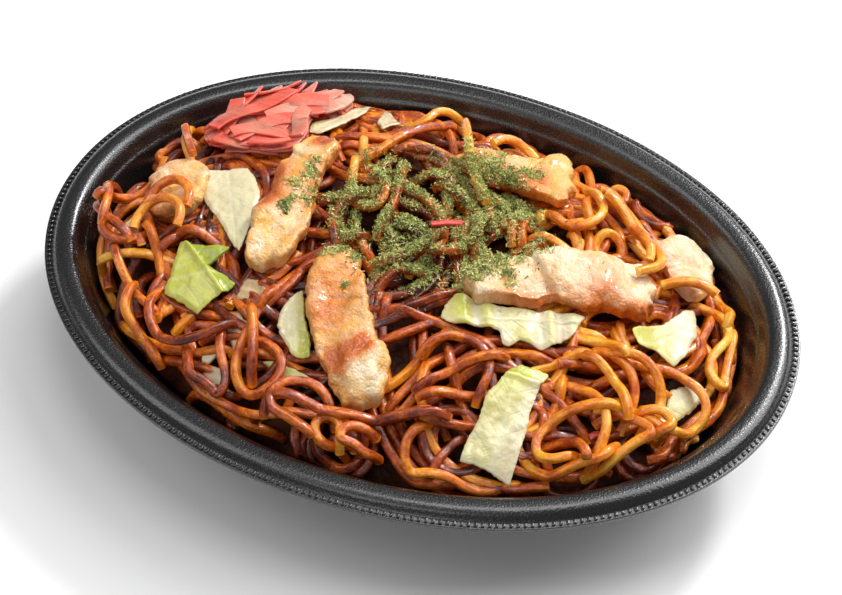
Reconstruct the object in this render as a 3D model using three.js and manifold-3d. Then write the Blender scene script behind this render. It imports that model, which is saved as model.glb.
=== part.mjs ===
// Yakisoba in an oval foam tray: fried noodles heaped over the rim, with pork,
// cabbage and red pickled ginger on top. Millimetres, +Z up, +X along the oval.
// The underside of the tray lies on z = 0 and the origin is at its centre.
import * as THREE from 'three';
import Module from 'manifold-3d';

const wasm = await Module();
wasm.setup();
const { Manifold, Mesh: SolidMesh } = wasm;

// ---- tray ----
const TRAY_LENGTH = 240;
const TRAY_WIDTH = 176;
const OVAL_POWER = 2.03;
const RIM_Z = 36;
const TRAY_SIDES = 60;
const WALL_TOP_INSET = 12.5;
const WALL_TOP_Z = 33.5;
const WALL_FOOT_INSET = 25.2;
const WALL_FOOT_Z = 5.0;

// ---- heap of noodles ----
const HEAP_MIDDLE = [1.5, 0.8];
const HEAP_HALF_LENGTH = 102;
const HEAP_HALF_WIDTH = 73;
const HEAP_POWER = 2.2;
const HEAP_EDGE = -6;
const HEAP_EDGE_SLOPE_X = -0.05;
const HEAP_EDGE_FALL_FRONT = 0.04;
const HEAP_EDGE_FALL_BACK = 0.01;
const HEAP_RISE = 22;
const HEAP_ROUNDNESS = 0.7;
const WALL_GAP_LEAST = 2.0;
const WALL_GAP_MORE = 3.4;
const WALL_GAP_SIDE = 200 * Math.PI / 180;
const CORE_DROP = 2.0;
const CORE_SECTORS = 36;
const SEAT_GAP = 0.35;
const NOODLE_RADIUS = 1.5;
const NOODLE_SIDES = 5;
const NOODLE_BEND = 16;
const STRAY_NOODLES = 44;
const FLAKES = 26;

// ---- helpers ----
function seeded(seed) {
  let a = seed >>> 0;
  return () => {
    a = (a + 0x6d2b79f5) >>> 0;
    let t = a;
    t = Math.imul(t ^ (t >>> 15), t | 1);
    t ^= t + Math.imul(t ^ (t >>> 7), t | 61);
    return ((t ^ (t >>> 14)) >>> 0) / 4294967296;
  };
}

function signedPower(value, power) {
  return Math.sign(value) * Math.pow(Math.abs(value), power);
}

function clamp(value, low, high) {
  return Math.min(high, Math.max(low, value));
}

// Point on the tray's oval at angle t, moved inward by inset along its normal.
function ovalPoint(t, inset) {
  const a = TRAY_LENGTH / 2;
  const b = TRAY_WIDTH / 2;
  const x = a * signedPower(Math.cos(t), 2 / OVAL_POWER);
  const y = b * signedPower(Math.sin(t), 2 / OVAL_POWER);
  let nx = signedPower(x / a, OVAL_POWER - 1) / a;
  let ny = signedPower(y / b, OVAL_POWER - 1) / b;
  const length = Math.hypot(nx, ny);
  nx /= length;
  ny /= length;
  return [x - nx * inset, y - ny * inset, nx, ny];
}

// How far inside the tray's outer edge a point lies, and the outward direction there.
const OUTER_EDGE = Array.from({ length: 480 }, (_, i) => ovalPoint((2 * Math.PI * i) / 480, 0));

function insetOf(x, y) {
  let best = Infinity;
  let near = OUTER_EDGE[0];
  for (const edge of OUTER_EDGE) {
    const d = (x - edge[0]) ** 2 + (y - edge[1]) ** 2;
    if (d < best) {
      best = d;
      near = edge;
    }
  }
  const inset = (near[0] - x) * near[2] + (near[1] - y) * near[3];
  return [inset, near[2], near[3]];
}

function wallInset(z) {
  const lean = (WALL_FOOT_INSET - WALL_TOP_INSET) / (WALL_TOP_Z - WALL_FOOT_Z);
  return WALL_TOP_INSET + Math.max(0, WALL_TOP_Z - z) * lean;
}

// Room left between the heap and the wall: widest towards the front left.
function wallGap(x, y) {
  const t = Math.atan2(y / TRAY_WIDTH, x / TRAY_LENGTH);
  return WALL_GAP_LEAST + WALL_GAP_MORE * Math.max(0, Math.cos(t - WALL_GAP_SIDE));
}

// Level of the noodles' tops over the tray.
function heapTop(x, y) {
  const r = Math.pow(
    Math.pow(Math.abs(x - HEAP_MIDDLE[0]) / HEAP_HALF_LENGTH, HEAP_POWER)
      + Math.pow(Math.abs(y - HEAP_MIDDLE[1]) / HEAP_HALF_WIDTH, HEAP_POWER),
    1 / HEAP_POWER,
  );
  const fall = y > 0 ? HEAP_EDGE_FALL_BACK : HEAP_EDGE_FALL_FRONT;
  const edge = RIM_Z + HEAP_EDGE + HEAP_EDGE_SLOPE_X * x - fall * Math.abs(y);
  const inside = Math.max(0, 1 - Math.min(r, 1) ** 2);
  return edge + HEAP_RISE * Math.pow(inside, HEAP_ROUNDNESS) - 20 * Math.max(0, r - 1);
}

function coreTop(x, y) {
  return heapTop(x, y) - CORE_DROP;
}

function seat(x, y) {
  return coreTop(x, y) + SEAT_GAP;
}

// Rings of points joined into one closed skin. The first and last entries are
// single points, and every other entry is a ring of the same count.
function ringSolid(start, rings, end) {
  const count = rings[0].length;
  const points = [start];
  rings.forEach((ring) => points.push(...ring));
  points.push(end);
  const last = points.length - 1;
  const faces = [];
  for (let i = 0; i < count; i += 1) {
    const j = (i + 1) % count;
    faces.push([0, 1 + i, 1 + j]);
    for (let k = 0; k + 1 < rings.length; k += 1) {
      const a = 1 + k * count + i;
      const b = 1 + k * count + j;
      const c = a + count;
      const d = b + count;
      faces.push([a, c, d]);
      faces.push([a, d, b]);
    }
    const base = 1 + (rings.length - 1) * count;
    faces.push([base + i, last, base + j]);
  }
  return toSolid(points, faces);
}

function toSolid(points, faces) {
  let volume = 0;
  for (const [a, b, c] of faces) {
    const [p, q, r] = [points[a], points[b], points[c]];
    volume += p[0] * (q[1] * r[2] - q[2] * r[1]);
    volume += p[1] * (q[2] * r[0] - q[0] * r[2]);
    volume += p[2] * (q[0] * r[1] - q[1] * r[0]);
  }
  const order = volume < 0 ? faces.map(([a, b, c]) => [a, c, b]) : faces;
  return new Manifold(new SolidMesh({
    numProp: 3,
    vertProperties: new Float32Array(points.flat()),
    triVerts: new Uint32Array(order.flat()),
  }));
}

// The largest piece alone, without sealed hollows or loose scraps.
function mainPiece(solid) {
  const parts = solid.decompose();
  parts.sort((p, q) => q.volume() - p.volume());
  return parts[0];
}

function joined(solids) {
  let sum = solids[0];
  for (let i = 1; i < solids.length; i += 1) {
    sum = sum.add(solids[i]);
  }
  return mainPiece(mainPiece(sum).simplify(0.06));
}

function namedMesh(name, solid, color, roughness) {
  const data = solid.getMesh();
  const geometry = new THREE.BufferGeometry();
  geometry.setAttribute('position', new THREE.BufferAttribute(new Float32Array(data.vertProperties), 3));
  geometry.setIndex(Array.from(data.triVerts));
  geometry.computeVertexNormals();
  const material = new THREE.MeshStandardMaterial({ color, roughness, metalness: 0 });
  const mesh = new THREE.Mesh(geometry, material);
  mesh.name = name;
  return mesh;
}

// ---- tray: one thermoformed sheet of foam, as rings from the middle of the
// inside, over the rolled rim and back under the floor ----
const TRAY_PROFILE = [
  [34.0, 1.9],
  [WALL_FOOT_INSET, WALL_FOOT_Z],
  [WALL_TOP_INSET, WALL_TOP_Z],
  [10.6, 36.4],
  [8.0, 38.3],
  [4.6, 38.4],
  [2.0, 36.2],
  [0.0, 36.0],
  [0.0, 34.4],
  [2.4, 34.6],
  [5.2, 36.6],
  [9.0, 35.0],
  [12.3, 31.0],
  [24.7, 3.1],
  [31.0, 0.0],
];

function traySolid() {
  const rings = TRAY_PROFILE.map(([inset, z]) => {
    const ring = [];
    for (let i = 0; i < TRAY_SIDES; i += 1) {
      const [x, y] = ovalPoint((2 * Math.PI * i) / TRAY_SIDES, inset);
      ring.push([x, y, z]);
    }
    return ring;
  });
  return ringSolid([0, 0, 1.9], rings, [0, 0, 0]);
}

// ---- noodles: a core filled down into the tray ----
function coreSolid() {
  const levels = [0.2, 0.4, 0.58, 0.73, 0.85, 0.94, 1.0];
  const edgeAt = (t) => {
    const wave = 0.5 + 0.28 * Math.sin(5 * t + 0.7) + 0.22 * Math.sin(11 * t + 2.1);
    let inset = 16;
    for (let pass = 0; pass < 4; pass += 1) {
      const [ex, ey] = ovalPoint(t, inset);
      inset = wallInset(coreTop(ex, ey)) + wallGap(ex, ey) + 1.2 * wave;
    }
    return inset;
  };
  const rings = levels.map((level) => {
    const ring = [];
    for (let i = 0; i < CORE_SECTORS; i += 1) {
      const t = (2 * Math.PI * i) / CORE_SECTORS;
      const [x, y] = ovalPoint(t, edgeAt(t));
      ring.push([x * level, y * level, coreTop(x * level, y * level)]);
    }
    return ring;
  });
  [[27.5, 5.8], [36.0, 2.3]].forEach(([inset, z]) => {
    const ring = [];
    for (let i = 0; i < CORE_SECTORS; i += 1) {
      const t = (2 * Math.PI * i) / CORE_SECTORS;
      const [x, y] = ovalPoint(t, inset);
      ring.push([x, y, z]);
    }
    rings.push(ring);
  });
  return ringSolid([0, 0, coreTop(0, 0)], rings, [0, 0, 2.3]);
}

// ---- toppings in plan ----
// Pork: the line along each slice, its half width along that line and its thickness.
const PORK = {
  pork_left: { line: [[-84.5, 10], [-80.5, 0], [-74.5, -11]], half: [7.4, 8.8, 8.8, 7.0], thick: 5.0 },
  pork_ginger_side: { line: [[-43, 32], [-43.4, 14], [-41.4, -5], [-39.3, -24.6]], half: [5.6, 7.3, 8.0, 6.6], thick: 6.4 },
  pork_front: { line: [[-18.6, -13.2], [-14, -28], [-4.2, -41], [8.2, -53.8]], half: [7.0, 8.5, 8.8, 8.4], thick: 6.4 },
  pork_back: { line: [[-1, 41], [12, 43.2], [24, 46], [34, 49.3]], half: [5.6, 9.2, 11.0, 12.0], thick: 5.6 },
  pork_long: { line: [[19.8, -10.4], [38, 0.8], [55, 10.6], [71.8, 14.4]], half: [6.0, 8.5, 10.7, 11.0], thick: 6.8 },
  pork_right: { line: [[69, 44.5], [75.4, 38.3], [78.4, 31], [80, 23.5]], half: [7.0, 9.6, 8.6, 5.2], thick: 5.4 },
};

// Cabbage: corners of each leaf, its lift off the seat, the slope of that lift and its waves.
const LEAVES = {
  cabbage_white: {
    corners: [
      [-75, 8], [-62, 12.2], [-58.4, 9.1], [-53.4, 3.2], [-51, -2.7], [-50.4, -8.8],
      [-49.4, -20.5], [-51.4, -19.2], [-60.4, -9.8], [-67.8, -1.6],
    ],
    lift: 1.0, slope: [0.02, -0.02], wave: 0.9, thick: 0.9,
  },
  cabbage_green: {
    corners: [[-68.7, -22.5], [-52.4, -21], [-57.1, -27.3], [-45.4, -31.5], [-53.1, -43.1], [-66.2, -39.3]],
    lift: 1.6, slope: [0.0, 0.04], wave: 1.0, thick: 0.9,
  },
  cabbage_behind_pork: {
    corners: [
      [-23.4, -30.6], [-20.5, -36.4], [-16.1, -42.4], [-14.6, -46.4], [-17.1, -48], [-20.4, -47.2],
      [-24.1, -44.5], [-27.7, -40.8], [-28.5, -36.8], [-27.5, -31.7], [-25.4, -27.8],
    ],
    lift: 1.0, slope: [0.0, 0.0], wave: 0.5, thick: 1.0,
  },
  cabbage_clear_a: {
    corners: [[-43.8, -28.8], [-40.4, -27.7], [-38, -27.9], [-35.5, -30.8], [-36, -33.3], [-37.5, -35.8], [-40, -35.4], [-43.8, -35.8]],
    lift: 0.3, slope: [0.0, 0.0], wave: 0.3, thick: 0.9,
  },
  cabbage_clear_b: {
    corners: [[-46.1, -40.3], [-40.5, -39.6], [-37.1, -41.3], [-36.6, -46], [-36.9, -49.1], [-37.8, -50.8], [-41.7, -45.7]],
    lift: 0.3, slope: [0.0, 0.0], wave: 0.3, thick: 0.9,
  },
  cabbage_strip: {
    corners: [[-28, -51.4], [-25.4, -50.2], [-18, -51], [-11.4, -52.2], [-11.4, -55], [-20, -54.6]],
    lift: 0.4, slope: [0.0, 0.0], wave: 0.3, thick: 1.1,
  },
  cabbage_long: {
    corners: [
      [43.9, -26], [49.5, -25], [52.6, -25.4], [51.4, -29.8], [51.5, -36.9], [52.8, -47.8],
      [53.2, -59.7], [45.4, -58.9], [37.8, -59.1], [37.6, -54.8], [38.3, -46], [38.5, -39.6],
      [40.5, -34.3], [41.7, -29.4],
    ],
    lift: 1.4, slope: [0.0, -0.05], wave: 1.2, thick: 0.9,
  },
  cabbage_under_pork: {
    corners: [
      [17.2, -18.6], [16.5, -21.3], [21.2, -22.6], [26, -21.2], [31.5, -19.4], [34.7, -19.2],
      [36.5, -22.1], [38.5, -22.5], [41.3, -19.4], [47.3, -19], [51.9, -14.4], [54.8, -9.5],
      [55.8, -3], [50.6, -4.2], [45, -6.9], [38.8, -9.7], [34.4, -11.9], [28, -15], [23.8, -17],
    ],
    lift: 1.0, slope: [0.0, 0.0], wave: 0.9, thick: 0.9,
  },
  cabbage_right: {
    corners: [[70.1, -3.3], [72.4, 0.4], [77.4, 6.8], [81.4, 15.4], [84, 18], [86.1, 14.4], [87.4, 9.3], [87.2, 2], [84.9, -5.2], [78.8, -4.3], [74.4, -6.4]],
    lift: 3.2, slope: [0.0, 0.0], wave: 1.0, thick: 0.9,
  },
  cabbage_yellow: {
    corners: [[-51.6, 37], [-53.6, 42], [-48.4, 47.4], [-45.6, 52.6], [-44.4, 60], [-41.6, 64], [-40.4, 57], [-43, 46], [-48, 37.4]],
    lift: 0.6, slope: [0.0, 0.0], wave: 0.4, thick: 1.0,
  },
  cabbage_tip: {
    corners: [[-34, 51.4], [-35.6, 62.4], [-31, 57.6], [-27, 54], [-30.6, 47.4]],
    lift: 0.8, slope: [0.0, 0.0], wave: 0.3, thick: 0.9,
  },
  cabbage_low_right: {
    corners: [[86, -11.4], [90, -7], [95.4, -4], [95, -8], [93.6, -14], [90, -20], [87, -19]],
    lift: 0.3, slope: [0.0, 0.0], wave: 0.4, thick: 0.9,
  },
  cabbage_low_left: {
    corners: [[-88.6, -10], [-85.6, -11.4], [-90.2, -21.6], [-93.4, -19.6]],
    lift: 0.4, slope: [0.0, 0.0], wave: 0.2, thick: 0.9,
  },
  cabbage_bit_a: {
    corners: [[-47, -53], [-44, -51.6], [-42, -53.4], [-43.6, -56], [-46.2, -55.8]],
    lift: 0.3, slope: [0.0, 0.0], wave: 0.1, thick: 0.9,
  },
  cabbage_bit_b: {
    corners: [[-44.5, -58], [-42.4, -56.4], [-38.1, -56.1], [-36, -60.1], [-39.2, -61.8], [-42.6, -60.8]],
    lift: 0.3, slope: [0.0, 0.0], wave: 0.1, thick: 0.9,
  },
};

// Ginger: corners of the mound's foot, and how high it stands.
const GINGER_FOOT = [
  [-83, 27], [-82, 36], [-77.6, 45], [-69.4, 54], [-59, 60], [-47.6, 60], [-47.6, 52.6], [-50.6, 47.8],
  [-56, 43], [-54.4, 36.6], [-51.6, 31], [-51.8, 24.6], [-57, 21.6], [-67, 20.4], [-78, 21],
];
const GINGER_TOP_Z = 47.5;
const GINGER_STRIP = { from: [1.5, 9.2], to: [12, 14.2], half: 0.9, thick: 1.5 };
const GINGER_CRUMB = { from: [69.6, -37.6], to: [72.4, -35.6], half: 1.1, thick: 1.6 };

function slabSolid({ line, half, thick }, stations, sides, lump, seed) {
  const curve = new THREE.CatmullRomCurve3(line.map(([x, y]) => new THREE.Vector3(x, y, 0)));
  const widthAt = (u) => {
    const f = u * (half.length - 1);
    const i = Math.min(half.length - 2, Math.floor(f));
    const g = f - i;
    const s = g * g * (3 - 2 * g);
    return half[i] * (1 - s) + half[i + 1] * s;
  };
  const place = (u, phi) => {
    const p = curve.getPointAt(u);
    const d = curve.getTangentAt(u);
    const end = Math.pow(Math.max(0, 1 - Math.pow(Math.abs(2 * u - 1), 14)), 0.45);
    const ripple = 1 + lump * Math.sin(9 * u + seed) + 0.5 * lump * Math.sin(23 * u + 2 * seed);
    const side = signedPower(Math.cos(phi), 0.75) * widthAt(u) * end * ripple;
    const x = p.x - d.y * side;
    const y = p.y + d.x * side;
    const t = signedPower(Math.sin(phi), 0.7);
    const swell = 1 + 0.16 * Math.sin(7 * u + 3 * Math.cos(phi) + seed);
    const z = seat(x, y) + (thick * Math.pow(end, 0.6) * (t > 0 ? swell : 1) * (t + 1)) / 2 + thick * 0.06;
    return [x, y, z];
  };
  const rings = [];
  for (let k = 0; k < stations; k += 1) {
    const u = 0.5 - 0.5 * Math.cos((Math.PI * (k + 0.55)) / (stations + 0.1));
    const ring = [];
    for (let i = 0; i < sides; i += 1) {
      ring.push(place(u, (2 * Math.PI * i) / sides));
    }
    rings.push(ring);
  }
  const tip = (u) => {
    const p = curve.getPointAt(u);
    return [p.x, p.y, seat(p.x, p.y) + thick * 0.36];
  };
  return ringSolid(tip(0), rings, tip(1));
}

// Corners resampled to an even ring, with the corners slightly rounded.
function evenRing(corners, count) {
  const lengths = corners.map((p, i) => {
    const q = corners[(i + 1) % corners.length];
    return Math.hypot(q[0] - p[0], q[1] - p[1]);
  });
  const total = lengths.reduce((a, b) => a + b, 0);
  const ring = [];
  for (let k = 0; k < count; k += 1) {
    let s = (total * k) / count;
    let i = 0;
    while (s > lengths[i]) {
      s -= lengths[i];
      i += 1;
    }
    const p = corners[i];
    const q = corners[(i + 1) % corners.length];
    const f = s / lengths[i];
    ring.push([p[0] + (q[0] - p[0]) * f, p[1] + (q[1] - p[1]) * f]);
  }
  return ring;
}

function middleOf(corners) {
  let area = 0;
  let mx = 0;
  let my = 0;
  corners.forEach((p, i) => {
    const q = corners[(i + 1) % corners.length];
    const w = p[0] * q[1] - q[0] * p[1];
    area += w;
    mx += (p[0] + q[0]) * w;
    my += (p[1] + q[1]) * w;
  });
  return [mx / (3 * area), my / (3 * area)];
}

// A thin wavy leaf: the same rings on both faces, one thickness apart.
function leafSolid({ corners, lift, slope, wave, thick }, seed) {
  const [mx, my] = middleOf(corners);
  const span = Math.max(...corners.map(([x, y]) => Math.hypot(x - mx, y - my)));
  const count = span > 9 ? 14 : 8;
  const levels = [0.55, 1.0];
  const outline = evenRing(corners, count);
  const height = (x, y) => {
    const u = (x - mx) / span;
    const v = (y - my) / span;
    const curl = Math.sin(3.1 * u + 1.7 * v + seed) + 0.6 * Math.sin(4.3 * v - 2.2 * u + 2.3 * seed);
    const raise = lift + slope[0] * (x - mx) + slope[1] * (y - my) + wave * 0.5 * curl;
    return seat(x, y) + Math.max(0.05, raise);
  };
  const face = (level, up) => outline.map(([x, y]) => {
    const px = mx + (x - mx) * level;
    const py = my + (y - my) * level;
    return [px, py, height(px, py) + up];
  });
  const top = levels.map((level) => face(level, thick));
  const bottom = levels.map((level) => face(level, 0)).reverse();
  return ringSolid([mx, my, height(mx, my) + thick], [...top, ...bottom], [mx, my, height(mx, my)]);
}

// ---- height field that strands are laid over, one after another ----
class HeightField {
  constructor(level) {
    this.half = [112, 84];
    this.count = [225, 169];
    this.top = new Float32Array(this.count[0] * this.count[1]);
    this.worn = new Float32Array(this.count[0] * this.count[1]);
    for (let j = 0; j < this.count[1]; j += 1) {
      for (let i = 0; i < this.count[0]; i += 1) {
        this.top[j * this.count[0] + i] = level(i - this.half[0], j - this.half[1]);
      }
    }
  }

  index(x, y) {
    const i = clamp(Math.round(x + this.half[0]), 0, this.count[0] - 1);
    const j = clamp(Math.round(y + this.half[1]), 0, this.count[1] - 1);
    return j * this.count[0] + i;
  }

  under(x, y, radius) {
    let high = this.top[this.index(x, y)];
    for (let k = 0; k < 6; k += 1) {
      const a = (k * Math.PI) / 3;
      high = Math.max(high, this.top[this.index(x + radius * Math.cos(a), y + radius * Math.sin(a))]);
    }
    return high;
  }

  bareAround(x, y, reach) {
    for (let k = 0; k < 8; k += 1) {
      const a = (k * Math.PI) / 4;
      if (this.worn[this.index(x + reach * Math.cos(a), y + reach * Math.sin(a))] > 0) return false;
    }
    return this.worn[this.index(x, y)] === 0;
  }

  stamp(path, radius) {
    for (const [x, y, z] of path) {
      for (let dy = -2; dy <= 2; dy += 1) {
        for (let dx = -2; dx <= 2; dx += 1) {
          const px = Math.round(x) + dx;
          const py = Math.round(y) + dy;
          const d = Math.hypot(px - x, py - y);
          if (d > radius + 0.4) continue;
          const at = this.index(px, py);
          const top = z + Math.sqrt(Math.max(0, radius * radius - d * d));
          this.top[at] = Math.max(this.top[at], top);
          this.worn[at] = 1;
        }
      }
    }
  }
}

// A strand's plan: start, heading in degrees, length, and the turn in each equal part.
function turnedPath([x, y, heading, length, ...turns]) {
  const steps = Math.max(4, Math.round(length));
  const path = [];
  let px = x;
  let py = y;
  let a = (heading * Math.PI) / 180;
  for (let i = 0; i <= steps; i += 1) {
    path.push([px, py]);
    const f = clamp(((i + 0.5) / steps) * turns.length - 0.5, 0, turns.length - 1);
    const k = Math.min(turns.length - 1, Math.floor(f));
    const next = Math.min(turns.length - 1, k + 1);
    const turn = turns[k] + (turns[next] - turns[k]) * (f - k);
    a += (((turn * Math.PI) / 180) * turns.length) / steps;
    px += (Math.cos(a) * length) / steps;
    py += (Math.sin(a) * length) / steps;
  }
  return path;
}

function insidePolygon(corners, x, y) {
  let inside = false;
  for (let i = 0, j = corners.length - 1; i < corners.length; j = i, i += 1) {
    const [ax, ay] = corners[i];
    const [bx, by] = corners[j];
    if ((ay > y) !== (by > y) && x < ((bx - ax) * (y - ay)) / (by - ay) + ax) inside = !inside;
  }
  return inside;
}

function edgeDistance(corners, x, y) {
  let best = Infinity;
  for (let i = 0; i < corners.length; i += 1) {
    const [ax, ay] = corners[i];
    const [bx, by] = corners[(i + 1) % corners.length];
    const f = clamp(((x - ax) * (bx - ax) + (y - ay) * (by - ay)) / ((bx - ax) ** 2 + (by - ay) ** 2), 0, 1);
    best = Math.min(best, Math.hypot(x - ax - f * (bx - ax), y - ay - f * (by - ay)));
  }
  return best;
}

function lineDistance(line, half, x, y) {
  let best = Infinity;
  for (let i = 0; i + 1 < line.length; i += 1) {
    const [ax, ay] = line[i];
    const [bx, by] = line[i + 1];
    const f = clamp(((x - ax) * (bx - ax) + (y - ay) * (by - ay)) / ((bx - ax) ** 2 + (by - ay) ** 2), 0, 1);
    const u = (i + f) / (line.length - 1);
    const w = half[clamp(Math.round(u * (half.length - 1)), 0, half.length - 1)];
    best = Math.min(best, Math.hypot(x - ax - f * (bx - ax), y - ay - f * (by - ay)) - w * 1.08);
  }
  return best;
}

// Clearance in plan from a point to the nearest topping.
function toppingClearance(x, y) {
  let best = Infinity;
  Object.values(PORK).forEach((p) => {
    best = Math.min(best, lineDistance(p.line, p.half, x, y));
  });
  const flat = [...Object.values(LEAVES).map((leaf) => leaf.corners), GINGER_FOOT];
  flat.forEach((corners) => {
    const d = edgeDistance(corners, x, y);
    best = Math.min(best, insidePolygon(corners, x, y) ? -d : d);
  });
  [GINGER_STRIP, GINGER_CRUMB].forEach(({ from, to, half }) => {
    best = Math.min(best, lineDistance([from, to], [half, half], x, y) - 0.3);
  });
  return best;
}

// Keeps a strand off the wall, and cuts it where it would meet a topping.
function clearRuns(path, radius, clearance, mostMoved = 5) {
  const runs = [];
  let run = [];
  for (const [x0, y0] of path) {
    const [inset, nx, ny] = insetOf(x0, y0);
    const need = wallInset(coreTop(x0, y0)) + radius + 0.6 * wallGap(x0, y0);
    const move = Math.max(0, need - inset);
    const x = x0 - nx * move;
    const y = y0 - ny * move;
    if (move < mostMoved && clearance(x, y) > radius + 0.45) {
      run.push([x, y]);
    } else {
      if (run.length > 9) runs.push(run);
      run = [];
    }
  }
  if (run.length > 9) runs.push(run);
  return runs;
}

// Lays a plan path over the field: it rests on what is highest and bends gently between.
function drape(field, plan, radius, bend) {
  const rest = plan.map(([x, y]) => field.under(x, y, radius * 0.8) + radius - 0.4);
  let level = rest.map((_, i) => {
    let z = -Infinity;
    for (let j = Math.max(0, i - 14); j <= Math.min(rest.length - 1, i + 14); j += 1) {
      z = Math.max(z, rest[j] - ((i - j) * (i - j)) / (2 * bend));
    }
    return z;
  });
  for (let pass = 0; pass < 3; pass += 1) {
    level = level.map((z, i) => {
      const a = level[Math.max(0, i - 1)];
      const b = level[Math.min(level.length - 1, i + 1)];
      return (a + 2 * z + b) / 4;
    });
  }
  return plan.map(([x, y], i) => [x, y, level[i]]);
}

// A closed strand along a laid path, with stations closer together where it bends.
function strandSolid(path, radius, sides, flat) {
  const stops = [0];
  for (let i = 1; i < path.length; i += 1) {
    const last = stops[stops.length - 1];
    const run = i - last;
    const from = Math.atan2(path[last + 1][1] - path[last][1], path[last + 1][0] - path[last][0]);
    const p = path[Math.min(path.length - 1, i)];
    const q = path[i - 1];
    let turn = Math.atan2(p[1] - q[1], p[0] - q[0]) - from;
    turn = Math.abs(Math.atan2(Math.sin(turn), Math.cos(turn)));
    const dip = Math.abs(path[i][2] - 2 * path[Math.round((i + last) / 2)][2] + path[last][2]);
    if (turn > 0.7 || run >= 11 || dip > 0.8) stops.push(i);
  }
  if (path.length - 1 - stops[stops.length - 1] < 2) stops.pop();
  stops.push(path.length - 1);
  const rings = stops.map((i) => {
    const p = new THREE.Vector3(...path[i]);
    const a = new THREE.Vector3(...path[Math.max(0, i - 1)]);
    const b = new THREE.Vector3(...path[Math.min(path.length - 1, i + 1)]);
    const along = b.sub(a).normalize();
    const across = new THREE.Vector3(0, 0, 1).cross(along).normalize();
    const up = along.clone().cross(across).normalize();
    const ring = [];
    for (let k = 0; k < sides; k += 1) {
      const phi = (2 * Math.PI * (k + 0.5)) / sides;
      const v = p.clone();
      v.addScaledVector(across, Math.cos(phi) * radius * 1.08);
      v.addScaledVector(up, Math.sin(phi) * radius * 1.08 * flat);
      ring.push([v.x, v.y, v.z]);
    }
    return ring;
  });
  return ringSolid(path[0], rings, path[path.length - 1]);
}

// The noodles that show most, in the order in which they lie.
const STRANDS = [
  [-13, -64, 5, 46, 21],
  [-47, -62, -43, 34, 68],
  [-20, -65, 17, 47, 0],
  [23, -57, -127, 42, 158, 12],
  [19, -41, -83, 38, 94],
  [-69, -39, -99, 40, 160],
  [-95, -24, -69, 30, 218],
  [-94, -34, 28, 26, -18],
  [-98, -12, 49, 26, 48],
  [-76, -44, -88, 22, 80],
  [-49, -44, 21, 49, -116, 67, -100, -116, 4],
  [-35, -42, -91, 48, 4, 150, 106],
  [-20, -65, 99, 26, -152],
  [3, -65, 92, 21, 300],
  [-66, -18, 12, 28, -93],
  [-83, -23, 140, 34, -267],
  [74, -30, -10, 34, 8, -150, -3],
  [77, -43, -99, 31, -130],
  [51, -29, 42, 38, -148],
  [71, -32, -153, 34, 8, 184],
  [67, -11, -4, 57, 35, -123, -125],
  [75, 24, 21, 70, -42, -129, 225, 60],
  [51, -22, 40, 34, -16],
  [74, -30, 42, 22, -96],
  [36, 29, -35, 25, 182],
  [37, 43, 22, 36, -170, -150],
  [43, 36, 135, 52, -150, -29, -47],
  [-14, 57, -122, 35, 14],
  [7, 52, 93, 18, -147],
  [-66, 16, 93, 23, -154],
  [18, -31, 68, 31, -170],
  [-29, 21, -73, 35, -5, 150, 74],
  [-17, 39, 37, 24, -118],
  [6, -2, 5, 24, 100],
  [1, 25, -7, 27, -80],
  [-37, -21, 38, 26, 5],
];

function noodleSolid() {
  const random = seeded(4107);
  const field = new HeightField((x, y) => coreTop(x, y) - 0.9);
  const solids = [coreSolid()];
  const lay = (row, shortest, mostMoved) => {
    clearRuns(turnedPath(row), NOODLE_RADIUS, toppingClearance, mostMoved).forEach((run) => {
      if (run.length < shortest) return;
      const path = drape(field, run, NOODLE_RADIUS, NOODLE_BEND);
      field.stamp(path, NOODLE_RADIUS * 0.9);
      solids.push(strandSolid(path, NOODLE_RADIUS, NOODLE_SIDES, 0.95));
    });
  };
  // strays first, each where the heap is barest so far
  for (let n = 0; n < STRAY_NOODLES; n += 1) {
    let best = null;
    for (let attempt = 0; attempt < 40; attempt += 1) {
      const t = random() * 2 * Math.PI;
      const r = Math.sqrt(random()) * 0.97;
      const x = HEAP_HALF_LENGTH * r * Math.cos(t);
      const y = HEAP_HALF_WIDTH * r * Math.sin(t);
      const row = [x, y, random() * 360, 50 + 40 * random(), (random() - 0.5) * 170, (random() - 0.5) * 170];
      const runs = clearRuns(turnedPath(row), NOODLE_RADIUS, toppingClearance, 1.5);
      const longest = Math.max(0, ...runs.map((run) => run.length));
      const bare = runs.flat().filter(([px, py]) => field.bareAround(px, py, 4)).length;
      if (longest > 15 && (best === null || bare > best.bare)) best = { bare, row };
    }
    if (best !== null) lay(best.row, 12, 1.5);
  }
  STRANDS.forEach((row) => lay(row, 9, 6));
  // green laver flakes lie on the middle of the heap
  for (let n = 0; n < FLAKES; n += 1) {
    const x = -32 + 66 * random();
    const y = -16 + 58 * random();
    if (((x - 2) / 34) ** 2 + ((y - 14) / 28) ** 2 > 1 || toppingClearance(x, y) < 3.4) continue;
    const size = 1.1 + 0.9 * random();
    const turn = random() * 3;
    const z = field.top[field.index(x, y)] + (field.worn[field.index(x, y)] ? 0 : 0.9);
    const ring = [0, 1, 2, 3].map((k) => {
      const a = turn + (k * Math.PI) / 2;
      return [x + size * Math.cos(a), y + size * 0.7 * Math.sin(a), z + 0.25];
    });
    solids.push(ringSolid([x, y, z + 0.7], [ring], [x, y, z - 0.6]));
  }
  return joined(solids);
}

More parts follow.
